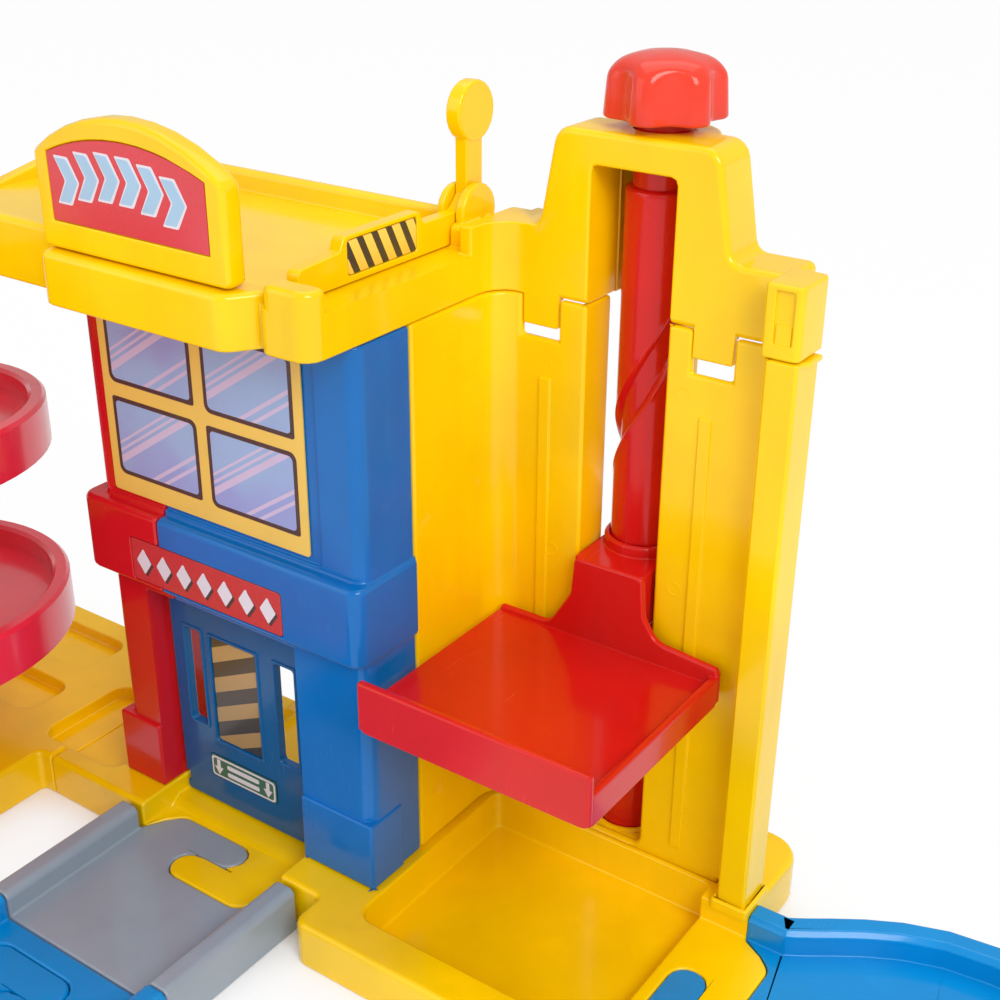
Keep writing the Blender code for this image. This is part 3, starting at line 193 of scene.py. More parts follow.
def mouldedPlastic(name, colour):
    finish = Finish(name)
    settings = plasticSettings
    drift = finish.noise(finish.place(), settings["driftScale"], 3.0)
    flow = finish.noise(finish.mapped(settings["flowScale"]), 1.0, 2.0, 0.5, 0.6)
    patches = finish.noise(finish.place(), settings["rubbedScale"], 4.0, 0.6)
    rubbed = finish.ramped(patches, *settings["rubbedRange"])
    scratches = []
    for turn in settings["scratchTurns"]:
        lines = finish.noise(finish.mapped(settings["scratchScale"], turn), 1.0, 1.0)
        scratches.append(finish.ramped(lines, *settings["scratchRange"]))
    scratch = (scratches[0] + scratches[1]) * rubbed
    dark, light = shaded(colour, settings["darker"]), shaded(colour, settings["lighter"])
    pigment = finish.mixed(dark, light, finish.ramped(drift, *settings["driftRange"]))
    streaks = finish.ramped(flow, *settings["flowRange"]) * settings["flowShare"]
    streaked = finish.mixed(pigment, colour, streaks)
    worn = finish.mixed(streaked, settings["scratchTone"], scratch * settings["scratchShare"])
    grain = finish.noise(finish.place(), settings["grainScale"], 1.0)
    dent = finish.noise(finish.place(), settings["dentScale"], 1.0)
    height = dent * settings["dentDepth"] + grain * settings["grainDepth"]
    height = height - scratch * settings["scratchDepth"]
    roughness = settings["roughness"] + rubbed * settings["rubbedRoughness"]
    roughness = roughness + scratch * settings["scratchRoughness"] + drift * settings["driftRoughness"]
    return finish.surface(
        Base_Color=worn,
        Roughness=roughness,
        Coat_Weight=settings["coat"],
        Coat_Roughness=settings["coatRoughness"],
        IOR=settings["index"],
        Specular_IOR_Level=settings["specular"],
        Normal=finish.bumped(height, settings["bump"]),
    )


colours = {
    "yellow": tone(250, 205, 0),
    "liftRed": tone(206, 22, 16),
    "knobRed": tone(226, 60, 40),
    "houseRed": tone(210, 24, 34),
    "houseBlue": tone(0, 106, 184),
    "doorBlue": tone(0, 90, 148),
    "trackBlue": tone(0, 135, 205),
    "grey": tone(147, 159, 170),
    "coral": tone(238, 44, 70),
}

plastics = {name: mouldedPlastic(name + "Plastic", colour) for name, colour in colours.items()}

# Printed labels: the fine dither of print, a little age, a soft sheen and slight bubbles.

printSettings = {
    "ditherScale": 1800.0,
    "ditherShare": 0.05,
    "cloudScale": 70.0,
    "cloudRange": (0.45, 0.8),
    "cloudRoughness": 0.1,
    "agedTone": tone(120, 105, 90),
    "agedShare": 0.06,
    "bubbleScale": 260.0,
    "bubbleDepth": 0.00004,
    "bump": 0.3,
    "coat": 0.3,
    "coatRoughness": 0.1,
    "index": 1.5,
}


def printedFinish(name, paint, roughness=0.33):
    finish = Finish(name)
    settings = printSettings
    shade = paint(finish)
    dither = finish.noise(finish.place(), settings["ditherScale"], 1.0)
    cloud = finish.noise(finish.place(), settings["cloudScale"], 2.0)
    inked = finish.mixed(shade, tone(255, 255, 255), dither * settings["ditherShare"])
    age = finish.ramped(cloud, *settings["cloudRange"]) * settings["agedShare"]
    bubble = finish.noise(finish.place(), settings["bubbleScale"], 1.0)
    return finish.surface(
        Base_Color=finish.mixed(inked, settings["agedTone"], age),
        Roughness=roughness + cloud * settings["cloudRoughness"],
        Coat_Weight=settings["coat"],
        Coat_Roughness=settings["coatRoughness"],
        IOR=settings["index"],
        Normal=finish.bumped(bubble * settings["bubbleDepth"], settings["bump"]),
    )


paneSettings = {
    "corner": (-0.1476, 0.1425),
    "period": (0.0421, 0.0321),
    "margin": 0.002,
    "slope": 0.667,
    "streaks": [(0.0088, 0.0098), (0.0061, 0.0072), (0.0021, 0.0048), (-0.0105, -0.0090), (-0.0141, -0.0127)],
    "sky": (tone(143, 158, 214), tone(146, 178, 219)),
    "glint": tone(200, 186, 217),
}


def paintGlass(finish):
    # Sky blue that drifts to lavender, with slanting glints in each pane.
    settings = paneSettings
    x, _, z = finish.axes()
    margin = settings["margin"]
    across = (x - (settings["corner"][0] - margin)) % settings["period"][0] - margin
    up = (z - (settings["corner"][1] - margin)) % settings["period"][1] - margin
    line = up - across * settings["slope"]
    glint = 0.0
    for low, high in settings["streaks"]:
        glint = glint + (line > low) * (line < high)
    drift = finish.noise(finish.place(), 30.0, 2.0)
    sky = finish.mixed(*settings["sky"], finish.ramped(drift, 0.35, 0.65))
    return finish.mixed(sky, settings["glint"], glint)


bandSettings = {
    "slope": 0.48,
    "x": -0.1235,
    "start": 0.0477,
    "period": 0.0122,
    "black": 0.0061,
    "fade": (0.040, 0.085),
    "tans": (tone(165, 130, 72), tone(190, 152, 92)),
    "darks": (tone(16, 14, 26), tone(62, 44, 20)),
}


def paintPane(finish):
    # Broad black and tan bands that rise to the right.
    settings = bandSettings
    x, _, z = finish.axes()
    line = (z - settings["start"] - (x - settings["x"]) * settings["slope"]) % settings["period"]
    black = line > settings["period"] - settings["black"]
    fade = finish.ramped(z, *settings["fade"])
    return finish.mixed(finish.mixed(*settings["tans"], fade), finish.mixed(*settings["darks"], fade), black)


hazardSettings = {
    "period": 0.0064,
    "black": 0.0028,
    "lean": 0.5,
    "start": -0.0710,
    "level": 0.2216,
    "fade": (0.220, 0.232),
    "ambers": (tone(250, 196, 60), tone(255, 214, 90)),
    "dark": tone(22, 18, 14),
}


def paintHazard(finish):
    # Black stripes that lean, on amber.
    settings = hazardSettings
    _, y, z = finish.axes()
    line = (y - settings["start"] + (z - settings["level"]) * settings["lean"]) % settings["period"]
    amber = finish.mixed(*settings["ambers"], finish.ramped(z, *settings["fade"]))
    return finish.mixed(amber, settings["dark"], line < settings["black"])


# The paler red towards the sign's lower right corner is a painted highlight.
paintedHighlightSettings = {
    "slope": 0.7,
    "range": (-0.305, -0.262),
    "share": 0.6,
    "reds": (tone(214, 30, 48), tone(226, 92, 110)),
}


def paintSign(finish):
    # Signal red that pales towards its lower right corner, a painted highlight.
    settings = paintedHighlightSettings
    x, _, z = finish.axes()
    # Painted highlight: the red is paler towards the lower right corner.
    paintedHighlight = finish.ramped(x * settings["slope"] - z, *settings["range"])
    return finish.mixed(*settings["reds"], paintedHighlight * settings["share"])


def paintFlat(colour):
    def paint(finish):
        drift = finish.noise(finish.place(), 45.0, 2.0)
        return finish.mixed(shaded(colour, 0.93), shaded(colour, 1.06), drift)
    return paint


prints = {
    "glass": printedFinish("windowGlassPrint", paintGlass),
    "outline": printedFinish("windowOutlinePrint", paintFlat(tone(52, 26, 24)), 0.4),
    "sheet": printedFinish("windowSheetPrint", paintFlat(tone(236, 196, 84)), 0.4),
    "pane": printedFinish("doorPanePrint", paintPane, 0.25),
    "hazard": printedFinish("hazardPrint", paintHazard),
    "sign": printedFinish("signPrint", paintSign, 0.25),
    "lintel": printedFinish("lintelPrint", paintFlat(tone(198, 32, 38)), 0.3),
    "plate": printedFinish("platePrint", paintFlat(tone(16, 96, 72)), 0.35),
    "white": printedFinish("whitePrint", paintFlat(tone(226, 222, 232)), 0.35),
    "paleBlue": printedFinish("paleBluePrint", paintFlat(tone(158, 198, 226)), 0.35),
    "shadow": printedFinish("shadowPrint", paintFlat(tone(58, 30, 30)), 0.4),
}
print("plastics and prints made")

# Modelling


def alone(item):
    # Only this object is selected and active.
    bpy.ops.object.select_all(action="DESELECT")
    item.select_set(True)
    bpy.context.view_layer.objects.active = item


def edit(piece):
    alone(piece)
    bpy.ops.object.mode_set(mode="EDIT")


def leave():
    bpy.ops.object.mode_set(mode="OBJECT")


def added(operator, **settings):
    # One of the basic shapes, alone selected and active.
    bpy.ops.object.select_all(action="DESELECT")
    operator(**settings)
    return bpy.context.active_object


def selectCorners(mesh, chosen):
    # In edit mode, only the corners that pass the test stay selected.
    bpy.ops.mesh.select_mode(type="VERT")
    bpy.ops.mesh.select_all(action="DESELECT")
    shape = bmesh.from_edit_mesh(mesh)
    for vert in shape.verts:
        vert.select = chosen(vert)
    shape.select_flush(True)
    bmesh.update_edit_mesh(mesh)


def selectLevel(mesh, level):
    selectCorners(mesh, lambda vert: abs(vert.co.z - level) < 0.00001)


def extrude(*shift):
    bpy.ops.mesh.extrude_region_move(TRANSFORM_OT_translate={"value": shift})


def turnedOut():
    # In edit mode, every face is turned outwards; the mode is left.
    bpy.ops.mesh.select_all(action="SELECT")
    bpy.ops.mesh.normals_make_consistent(inside=False)
    leave()


def smooth(low, high, value):
    share = min(1.0, max(0.0, (value - low) / (high - low)))
    return share * share * (3.0 - 2.0 * share)


def joinedPiece(name, pieces):
    # Several pieces of one print or plastic made one object.
    bpy.ops.object.select_all(action="DESELECT")
    for piece in pieces:
        piece.select_set(True)
    bpy.context.view_layer.objects.active = pieces[0]
    bpy.ops.object.join()
    pieces[0].name = name
    return pieces[0]


def settled(piece, body, slot, *nodes):
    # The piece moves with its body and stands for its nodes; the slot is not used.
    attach(piece, body)
    if nodes:
        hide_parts(*nodes)
    return piece


# Rounded edges: each sharp edge gets the rounding that the faces beside it have room for.

roundingSettings = {
    "same": 0.000002,
    "speck": 0.000000001,
    "crossing": 0.00000001,
    "dissolved": radians(0.5),
    "sharp": radians(40),
    "smooth": radians(38),
    "facing": -0.3,
    "sharedRoom": 0.45,
    "freeRoom": 0.85,
    "alongRoom": 0.9,
    "leastWeight": 0.03,
    "parallel": 0.99995,
    "shares": (1.0, 0.8, 0.65, 0.5, 0.4),
    "volumeLoss": 0.12,
    "foldLeft": 0.000003,
}


def copyOfNode(name, node):
    # The CAD solid's shape as a mesh of its own, with its loose triangles merged into faces.
    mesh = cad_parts[node].data.copy()
    mesh.materials.clear()
    piece = bpy.data.objects.new(name, mesh)
    bpy.context.scene.collection.objects.link(piece)
    edit(piece)
    bpy.ops.mesh.select_all(action="SELECT")
    bpy.ops.mesh.remove_doubles(threshold=roundingSettings["same"])
    bpy.ops.mesh.dissolve_limited(angle_limit=roundingSettings["dissolved"])
    leave()
    bpy.ops.mesh.customdata_custom_splitnormals_clear()
    bpy.ops.object.shade_smooth()
    return piece


def segmentDistances(starts, ends):
    # From each corner of a face to each of its edges, seen along the edges only.
    along = ends - starts
    length = np.maximum((along * along).sum(1), 1e-18)
    reach = starts[:, None, :] - starts[None, :, :]
    share = np.clip((reach * along[None]).sum(2) / length[None], 0.0, 1.0)
    nearest = starts[None] + share[..., None] * along[None]
    return np.sqrt(((starts[:, None, :] - nearest) ** 2).sum(2))


def roundingWeights(shape, width):
    # How much of the full rounding each sharp edge has room for, as a share.
    settings = roundingSettings
    sharp = set()
    for edge in shape.edges:
        if len(edge.link_faces) == 2 and edge.calc_face_angle(0.0) > settings["sharp"]:
            sharp.add(edge)
    room = {edge: width for edge in sharp}
    for face in shape.faces:
        loops = list(face.loops)
        edges = [loop.edge for loop in loops]
        if not any(edge in sharp for edge in edges):
            continue
        starts = np.array([loop.vert.co[:] for loop in loops])
        ends = np.roll(starts, -1, axis=0)
        count = len(loops)
        away = segmentDistances(starts, ends)
        between = np.minimum(away, np.roll(away, -1, axis=0))
        between = np.minimum(between, between.T)
        along = ends - starts
        along /= np.maximum(np.linalg.norm(along, axis=1), 1e-12)[:, None]
        facing = along @ along.T < settings["facing"]
        marks = np.array([edge in sharp for edge in edges])
        both = np.where(marks, settings["sharedRoom"], settings["freeRoom"])
        lengths = np.linalg.norm(ends - starts, axis=1)
        for index in range(count):
            if not marks[index]:
                continue
            near = facing[index].copy()
            for step in (-1, 0, 1):
                near[(index + step) % count] = False
            if near.any():
                room[edges[index]] = min(room[edges[index]], (between[index] * both)[near].min())
            # Corners of the face eat into the edge from both ends.
            eaten = 0.0
            for step in (-1, 1):
                other = (index + step) % count
                turn = float(np.clip(along[index] @ along[other], -1.0, 1.0))
                normal = np.cross(along[index], along[other]) * step @ np.array(face.normal[:])
                if normal < 0.0:
                    continue
                half = (pi - np.arccos(turn)) / 2
                if marks[other]:
                    eaten += cos(half) / max(sin(half), 0.05)
                else:
                    across = max(sin(2 * half), 0.1)
                    end = settings["sharedRoom"] * lengths[other] * across
                    room[edges[index]] = min(room[edges[index]], end)
            if eaten:
                end = settings["alongRoom"] * lengths[index] / eaten
                room[edges[index]] = min(room[edges[index]], end)
    return {edge: max(settings["leastWeight"], value / width) for edge, value in room.items()}


def foldedFaces(mesh):
    # Faces whose outline has been drawn across itself, and how much of each is turned over.
    mesh.calc_loop_triangles()
    folded = {}
    for corner in mesh.loop_triangles:
        face = corner.polygon_index
        turned = corner.normal.dot(mesh.polygons[face].normal) < 0.0
        if turned and corner.area > roundingSettings["speck"]:
            folded[face] = folded.get(face, 0.0) + corner.area
    return folded


def meshVolume(mesh):
    shape = bmesh.new()
    shape.from_mesh(mesh)
    volume = shape.calc_volume(signed=True)
    shape.free()
    return volume


def fillOutline(shape, outline, normal):
    # A flat outline with holes made triangles. Where it crosses itself, the crossing goes to a corner.
    # The corners are sorted by place, so that each run makes the same triangles.
    corners = sorted({vert for edge in outline for vert in edge.verts}, key=lambda vert: vert.co[:])
    place = {vert: index for index, vert in enumerate(corners)}
    side = normal.orthogonal().normalized()
    ahead = normal.cross(side)
    flat = [Vector((side.dot(vert.co), ahead.dot(vert.co))) for vert in corners]
    edges = sorted(tuple(sorted(place[vert] for vert in edge.verts)) for edge in outline)
    filled = delaunay_2d_cdt(flat, edges, [], 4, roundingSettings["crossing"])
    points, _, triangles, origins, _, _ = filled
    near = []
    for point, origin in zip(points, origins):
        if origin:
            index = origin[0]
        else:
            index = min(range(len(flat)), key=lambda other: (flat[other] - point).length)
        near.append(corners[index])
    for triangle in triangles:
        chosen = [near[index] for index in triangle]
        if len(set(chosen)) < 3 or shape.faces.get(chosen):
            continue
        face = shape.faces.new(chosen)
        face.normal_update()
        if face.normal.dot(normal) < 0.0:
            face.normal_flip()
        face.smooth = True


def refillFlats(piece):
    # A flat region with a folded face in it is filled afresh from its outline and holes.
    tried = set()
    while True:
        shape = bmesh.new()
        shape.from_mesh(piece.data)
        shape.faces.ensure_lookup_table()
        start = None
        for index in sorted(foldedFaces(piece.data)):
            face = shape.faces[index]
            middle = tuple(round(value, 4) for value in face.calc_center_median())
            if start is None and len(face.verts) > 4 and middle not in tried:
                start = face
                tried.add(middle)
        if start is None:
            shape.free()
            return
        normal = start.normal.copy()
        level = normal.dot(start.verts[0].co)
        region = {start}
        front = [start]
        while front:
            for edge in front.pop().edges:
                for face in edge.link_faces:
                    away = max(abs(normal.dot(vert.co) - level) for vert in face.verts)
                    if face not in region and away < roundingSettings["same"]:
                        region.add(face)
                        front.append(face)
        edges = {edge for face in region for edge in face.edges}
        outline = [edge for edge in edges if sum(face in region for face in edge.link_faces) == 1]
        inner = [edge for edge in edges if edge not in outline]
        bmesh.ops.delete(shape, geom=list(region), context="FACES_ONLY")
        bmesh.ops.delete(shape, geom=inner, context="EDGES")
        fillOutline(shape, outline, normal)
        loose = [vert for vert in shape.verts if not vert.link_faces]
        bmesh.ops.delete(shape, geom=loose, context="VERTS")
        gaps = [edge for edge in shape.edges if len(edge.link_faces) < 2]
        bmesh.ops.holes_fill(shape, edges=gaps, sides=8)
        shape.normal_update()
        trial = piece.data.copy()
        shape.to_mesh(trial)
        better = sum(foldedFaces(trial).values()) < sum(foldedFaces(piece.data).values())
        if better and all(len(edge.link_faces) == 2 for edge in shape.edges):
            trial, piece.data = piece.data, trial
        bpy.data.meshes.remove(trial)
        shape.free()


def roundedOnce(piece, width, segments):
    # One rounding of the piece's sharp edges, as far as there is room beside each.
    places = [vert.co for vert in piece.data.vertices]
    low = [min(place[axis] for place in places) for axis in range(3)]
    high = [max(place[axis] for place in places) for axis in range(3)]
    shape = bmesh.new()
    shape.from_mesh(piece.data)
    layer = shape.edges.layers.float.new("bevel_weight_edge")
    for edge, weight in roundingWeights(shape, width).items():
        edge[layer] = weight
    shape.to_mesh(piece.data)
    shape.free()
    alone(piece)
    bevel = piece.modifiers.new("Bevel", "BEVEL")
    bevel.limit_method = "WEIGHT"
    bevel.width = width
    bevel.segments = segments
    bevel.use_clamp_overlap = False
    bpy.ops.object.modifier_apply(modifier=bevel.name)
    for vert in piece.data.vertices:
        vert.co = [min(max(vert.co[axis], low[axis]), high[axis]) for axis in range(3)]
    refillFlats(piece)


def turnFolds(piece):
    # What is still folded is cut into triangles, and each flat looks one way all over.
    folded = foldedFaces(piece.data)
    shape = bmesh.new()
    shape.from_mesh(piece.data)
    shape.faces.ensure_lookup_table()
    for face in [shape.faces[index] for index in folded]:
        normal = face.normal.copy()
        for made in bmesh.ops.triangulate(shape, faces=[face])["faces"]:
            made.normal_update()
            if made.normal.dot(normal) < 0.0:
                made.normal_flip()
    seen = set()
    for seed in shape.faces:
        if seed in seen:
            continue
        seen.add(seed)
        flat = [(seed, 1.0)]
        for face, side in flat:
            for edge in face.edges:
                for other in edge.link_faces:
                    turn = face.normal.dot(other.normal)
                    if other not in seen and abs(turn) > roundingSettings["parallel"]:
                        seen.add(other)
                        flat.append((other, side * (1.0 if turn > 0.0 else -1.0)))
        lead = sum(face.calc_area() * side for face, side in flat)
        for face, side in flat:
            if side * lead < 0.0:
                face.normal_flip()
    shape.to_mesh(piece.data)
    shape.free()


def roundEdges(piece, width, segments=3):
    # The widest rounding that leaves no flat face folded, from the full width down.
    settings = roundingSettings
    sharp = piece.data
    volume = meshVolume(sharp)
    best = None
    for share in settings["shares"]:
        piece.data = sharp.copy()
        roundedOnce(piece, width * share, segments)
        lost = abs(meshVolume(piece.data) / volume - 1.0) > settings["volumeLoss"]
        fault = sum(foldedFaces(piece.data).values()) + lost
        if best is None or fault < best[0]:
            best = (fault, piece.data)
        if fault < settings["foldLeft"]:
            break
    piece.data = best[1]
    turnFolds(piece)
    alone(piece)
    bpy.ops.object.shade_smooth_by_angle(angle=settings["smooth"])
    weighted = piece.modifiers.new("Weighted", "WEIGHTED_NORMAL")
    weighted.keep_sharp = True
    bpy.ops.object.modifier_apply(modifier=weighted.name)
    return piece


# Mouldings: the solid's shape with its edges rounded, by body, with plastic and width of rounding.

mouldings = {
    "garage": {
        "base_main": ("yellow", 0.0016),
        "base_left": ("yellow", 0.0016),
        "screw_collar": ("yellow", 0.0006),
        "facade_left": ("houseRed", 0.0026),
        "facade_right": ("houseBlue", 0.0026),
        "tower_wall": ("yellow", 0.0014),
        "roof_deck": ("yellow", 0.0022),
        "sign_board": ("yellow", 0.0026),
        "road_grey": ("grey", 0.0012),
        "road_blue_front": ("trackBlue", 0.0012),
        "road_blue_bend": ("trackBlue", 0.0012),
        "road_blue_right": ("trackBlue", 0.0012),
        "spiral_column": ("yellow", 0.0008),
    },
    "platform": {"platform": ("liftRed", 0.0013)},
    "barrier": {"barrier": ("yellow", 0.0008)},
    "door": {"door": ("doorBlue", 0.0006)},
}

slots = {"yellow": "yellow", "liftRed": "lift_red", "houseRed": "house_red", "houseBlue": "house_blue",
         "doorBlue": "door_blue", "trackBlue": "track_blue", "grey": "track_grey"}


def pieceName(node):
    first, *rest = node.split("_")
    return "moulded" + first.capitalize() + "".join(word.capitalize() for word in rest)


for body, nodes in mouldings.items():
    for node, (plastic, width) in nodes.items():
        piece = roundEdges(copyOfNode(pieceName(node), node), width)
        piece.data.materials.append(plastics[plastic])
        settled(piece, body, slots[plastic], node)
print("mouldings rounded")

# Flat printed shapes


def flatShape(name, corners, radii, back, face, material):
    # An outline on a wall, its corners rounded one by one, raised from the wall to its face.
    piece = added(bpy.ops.mesh.primitive_circle_add, vertices=len(corners), radius=0.01, fill_type="NGON")
    piece.name = name
    mesh = piece.data
    for vert, (x, z) in zip(mesh.vertices, corners):
        vert.co = (x, back, z)
    for (x, z), radius in zip(corners, radii):
        if radius <= 0.0:
            continue
        edit(piece)
        shape = bmesh.from_edit_mesh(mesh)
        for vert in shape.verts:
            vert.select = abs(vert.co.x - x) < 0.000001 and abs(vert.co.z - z) < 0.000001
        shape.select_flush(False)
        bmesh.update_edit_mesh(mesh)
        bpy.ops.mesh.bevel(offset=radius, affect="VERTICES", segments=5)
        leave()
    edit(piece)
    bpy.ops.mesh.select_all(action="SELECT")
    extrude(0.0, face - back, 0.0)
    turnedOut()
    mesh.materials.append(material)
    return piece


def rectangle(low, high, inset=0.0):
    left, foot = low[0] + inset, low[1] + inset
    right, top = high[0] - inset, high[1] - inset
    return [(left, foot), (right, foot), (right, top), (left, top)]


sheetSettings = {
    "corner": 0.0012,
    "raised": 0.00008,
    "sunk": 0.0001,
    "outline": 0.0015,
    "outlineRadii": (0.0028, 0.0010, 0.0028, 0.0010),
    "paneRadii": (0.0018, 0.0014, 0.0018, 0.0014),
    "panes": [
        ((-0.1490, 0.1410), (-0.1113, 0.1684)),
        ((-0.1070, 0.1405), (-0.0700, 0.1682)),
        ((-0.1492, 0.1732), (-0.1116, 0.1990)),
        ((-0.1070, 0.1725), (-0.0702, 0.1990)),
    ],
}


def makeWindowSheet():
    settings = sheetSettings
    low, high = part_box("window_label")
    corners = rectangle((low.x, low.z), (high.x, high.z))
    sheet = flatShape("windowSheet", corners, (settings["corner"],) * 4, high.y, low.y, prints["sheet"])
    settled(sheet, "garage", "label_yellow", "window_label")
    front = low.y - settings["raised"]
    glassFront = front - settings["raised"] / 2
    outlines, panes = [], []
    for pane in settings["panes"]:
        outlines.append(flatShape("outline", rectangle(*pane), settings["outlineRadii"],
                                  low.y + settings["sunk"], front, prints["outline"]))
        panes.append(flatShape("pane", rectangle(*pane, settings["outline"]), settings["paneRadii"],
                               low.y, glassFront, prints["glass"]))
    settled(joinedPiece("windowOutlines", outlines), "garage", "label_dark")
    settled(joinedPiece("windowPanes", panes), "garage", "label_dark")


makeWindowSheet()

# Flat labels keep the outline of their solid, with a fine edge.

labelEdge = 0.00015

labels = {
    "doorPane": ("door_pane", "door", "label_dark", "pane"),
    "hazardLabel": ("barrier_label", "barrier", "label_yellow", "hazard"),
    "signPanel": ("sign_label", "garage", "label_red", "sign"),
    "lintelPlate": ("lintel_label", "garage", "label_red", "lintel"),
    "doorPlate": ("door_label", "door", "label_green", "plate"),
}

for name, (node, body, slot, ink) in labels.items():
    piece = roundEdges(copyOfNode(name, node), labelEdge, 1)
    piece.data.materials.append(prints[ink])
    settled(piece, body, slot, node)

# Marks printed on the labels

inkSettings = {
    "corner": 0.0005,
    "raised": 0.00006,
    "sunk": 0.0001,
}

plateSettings = {
    "border": 0.0008,
    "rimRadius": 0.0014,
    "groundRadius": 0.001,
    "barRadius": 0.0007,
    "arrows": (-0.1236, -0.1000),
    "arrowTop": 0.0319,
    "arrowNeck": 0.0288,
    "arrowFoot": 0.0256,
    "arrowHalf": 0.0021,
    "shaftHalf": 0.0008,
    "bars": [((-0.1195, 0.0293), (-0.1041, 0.0311)), ((-0.1195, 0.0262), (-0.1041, 0.0280))],
}


def makeDoorPlate():
    # The green plate's pale border, its arrows and the two bars between them.
    settings = plateSettings
    low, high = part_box("door_label")
    whole = ((low.x, low.z), (high.x, high.z))
    lift, sunk, border = inkSettings["raised"], inkSettings["sunk"], settings["border"]
    pale = [flatShape("rim", rectangle(*whole, border * 0.5), (settings["rimRadius"],) * 4,
                      low.y + sunk, low.y - lift, prints["white"])]
    inner = rectangle(*whole, border * 0.5 + border)
    ground = flatShape("doorPlateGround", inner, (settings["groundRadius"],) * 4, low.y, low.y - 2 * lift,
                       prints["plate"])
    settled(ground, "door", "label_green")
    shaft, half = settings["shaftHalf"], settings["arrowHalf"]
    top, neck, foot = settings["arrowTop"], settings["arrowNeck"], settings["arrowFoot"]
    for x in settings["arrows"]:
        corners = [(x - shaft, top), (x - shaft, neck), (x - half, neck), (x, foot), (x + half, neck),
                   (x + shaft, neck), (x + shaft, top)]
        pale.append(flatShape("arrow", corners, (0.0,) * 7, low.y - lift, low.y - 3 * lift, prints["white"]))
    for bar in settings["bars"]:
        pale.append(flatShape("bar", rectangle(*bar), (settings["barRadius"],) * 4, low.y - lift,
                              low.y - 3 * lift, prints["white"]))
    settled(joinedPiece("doorPlateMarks", pale), "door", "label_green")


def makeRow(node, settings, outline):
    # A row of one mark in two prints, the second over the first, each print one object.
    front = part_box(node)[0].y
    lift, sunk, corner = inkSettings["raised"], inkSettings["sunk"], inkSettings["corner"]
    for step, (name, (ink, change)) in enumerate(settings["prints"].items(), start=1):
        marks = []
        for x in np.linspace(settings["first"], settings["last"], settings["count"]):
            corners = outline(settings, float(x), change)
            marks.append(flatShape("mark", corners, (corner,) * len(corners), front + sunk,
                                   front - step * lift, prints[ink]))
        settled(joinedPiece(name, marks), "garage", "label_red")


lintelSettings = {
    "count": 7,
    "first": -0.1372,
    "last": -0.0818,
    "middle": 0.1130,
    "halfWide": 0.0034,
    "halfHigh": 0.0047,
    "prints": {
        "lintelShadows": ("shadow", (0.0008, -0.0008)),
        "lintelDiamonds": ("white", (0.0, 0.0)),
    },
}


def diamond(settings, x, shift):
    # White diamonds, each with a dark drop shadow.
    middle, level = x + shift[0], settings["middle"] + shift[1]
    wide, high = settings["halfWide"], settings["halfHigh"]
    return [(middle - wide, level), (middle, level - high), (middle + wide, level), (middle, level + high)]


signSettings = {
    "count": 6,
    "first": -0.1318,
    "last": -0.0892,
    "middle": 0.2440,
    "rise": 0.0032,
    "halfHigh": 0.0062,
    "arm": 0.0046,
    "point": 0.0040,
    "prints": {
        "signChevronEdges": ("white", 0.0007),
        "signChevrons": ("paleBlue", 0.0),
    },
}


def chevron(settings, x, grown):
    # A bowed row of pale blue chevrons with white edges.
    middle = (settings["first"] + settings["last"]) / 2
    half = (settings["last"] - settings["first"]) / 2
    z = settings["middle"] + settings["rise"] * (1.0 - ((x - middle) / half) ** 2)
    tall = settings["halfHigh"] + grown
    back, front = x - settings["arm"] / 2 - grown, x + settings["arm"] / 2 + grown
    lean = settings["point"] / 2
    return [(back - lean, z - tall), (front - lean, z - tall), (front + lean, z),
            (front - lean, z + tall), (back - lean, z + tall), (back + lean, z)]


makeDoorPlate()
makeRow("lintel_label", lintelSettings, diamond)
makeRow("sign_label", signSettings, chevron)
print("labels laid")

# Round marks where the mould's pins push the tower out

pinSettings = {
    "places": [(-0.0242, 0.1860), (0.0200, 0.1858), (-0.0242, 0.1210), (0.0212, 0.1210), (0.0200, 0.0650)],
    "radius": 0.0024,
    "face": -0.0170,
    "proud": 0.00012,
    "sunk": 0.0006,
    "rim": 0.0005,
    "slope": 0.0001,
    "edge": 0.00008,
}


def makePinMarks():
    settings = pinSettings
    marks = []
    depth = settings["proud"] + settings["sunk"]
    for x, z in settings["places"]:
        middle = (x, settings["face"] - settings["proud"] + depth / 2, z)
        mark = added(bpy.ops.mesh.primitive_cylinder_add, vertices=40, radius=settings["radius"],
                     depth=depth, location=middle, rotation=(pi / 2, 0.0, 0.0))
        bpy.ops.object.transform_apply(location=True, rotation=True, scale=True)
        edit(mark)
        selectCorners(mark.data, lambda vert: vert.co.y < settings["face"])
        bpy.ops.mesh.select_mode(type="FACE")
        bpy.ops.mesh.inset(thickness=settings["rim"], depth=0.0)
        bpy.ops.mesh.inset(thickness=settings["slope"], depth=-settings["edge"])
        leave()
        mark.data.materials.append(plastics["yellow"])
        marks.append(mark)
    return settled(joinedPiece("towerPinMarks", marks), "garage", "yellow")


makePinMarks()

# Ribs inside the left base's round corners, where its skirt is thinnest

cornerSettings = {
    "places": [(-0.3412, -0.0208), (-0.3412, -0.2412), (-0.19595, -0.2412)],
    "radius": 0.0010,
    "foot": 0.0003,
    "head": 0.0150,
    "chamfer": 0.0002,
}


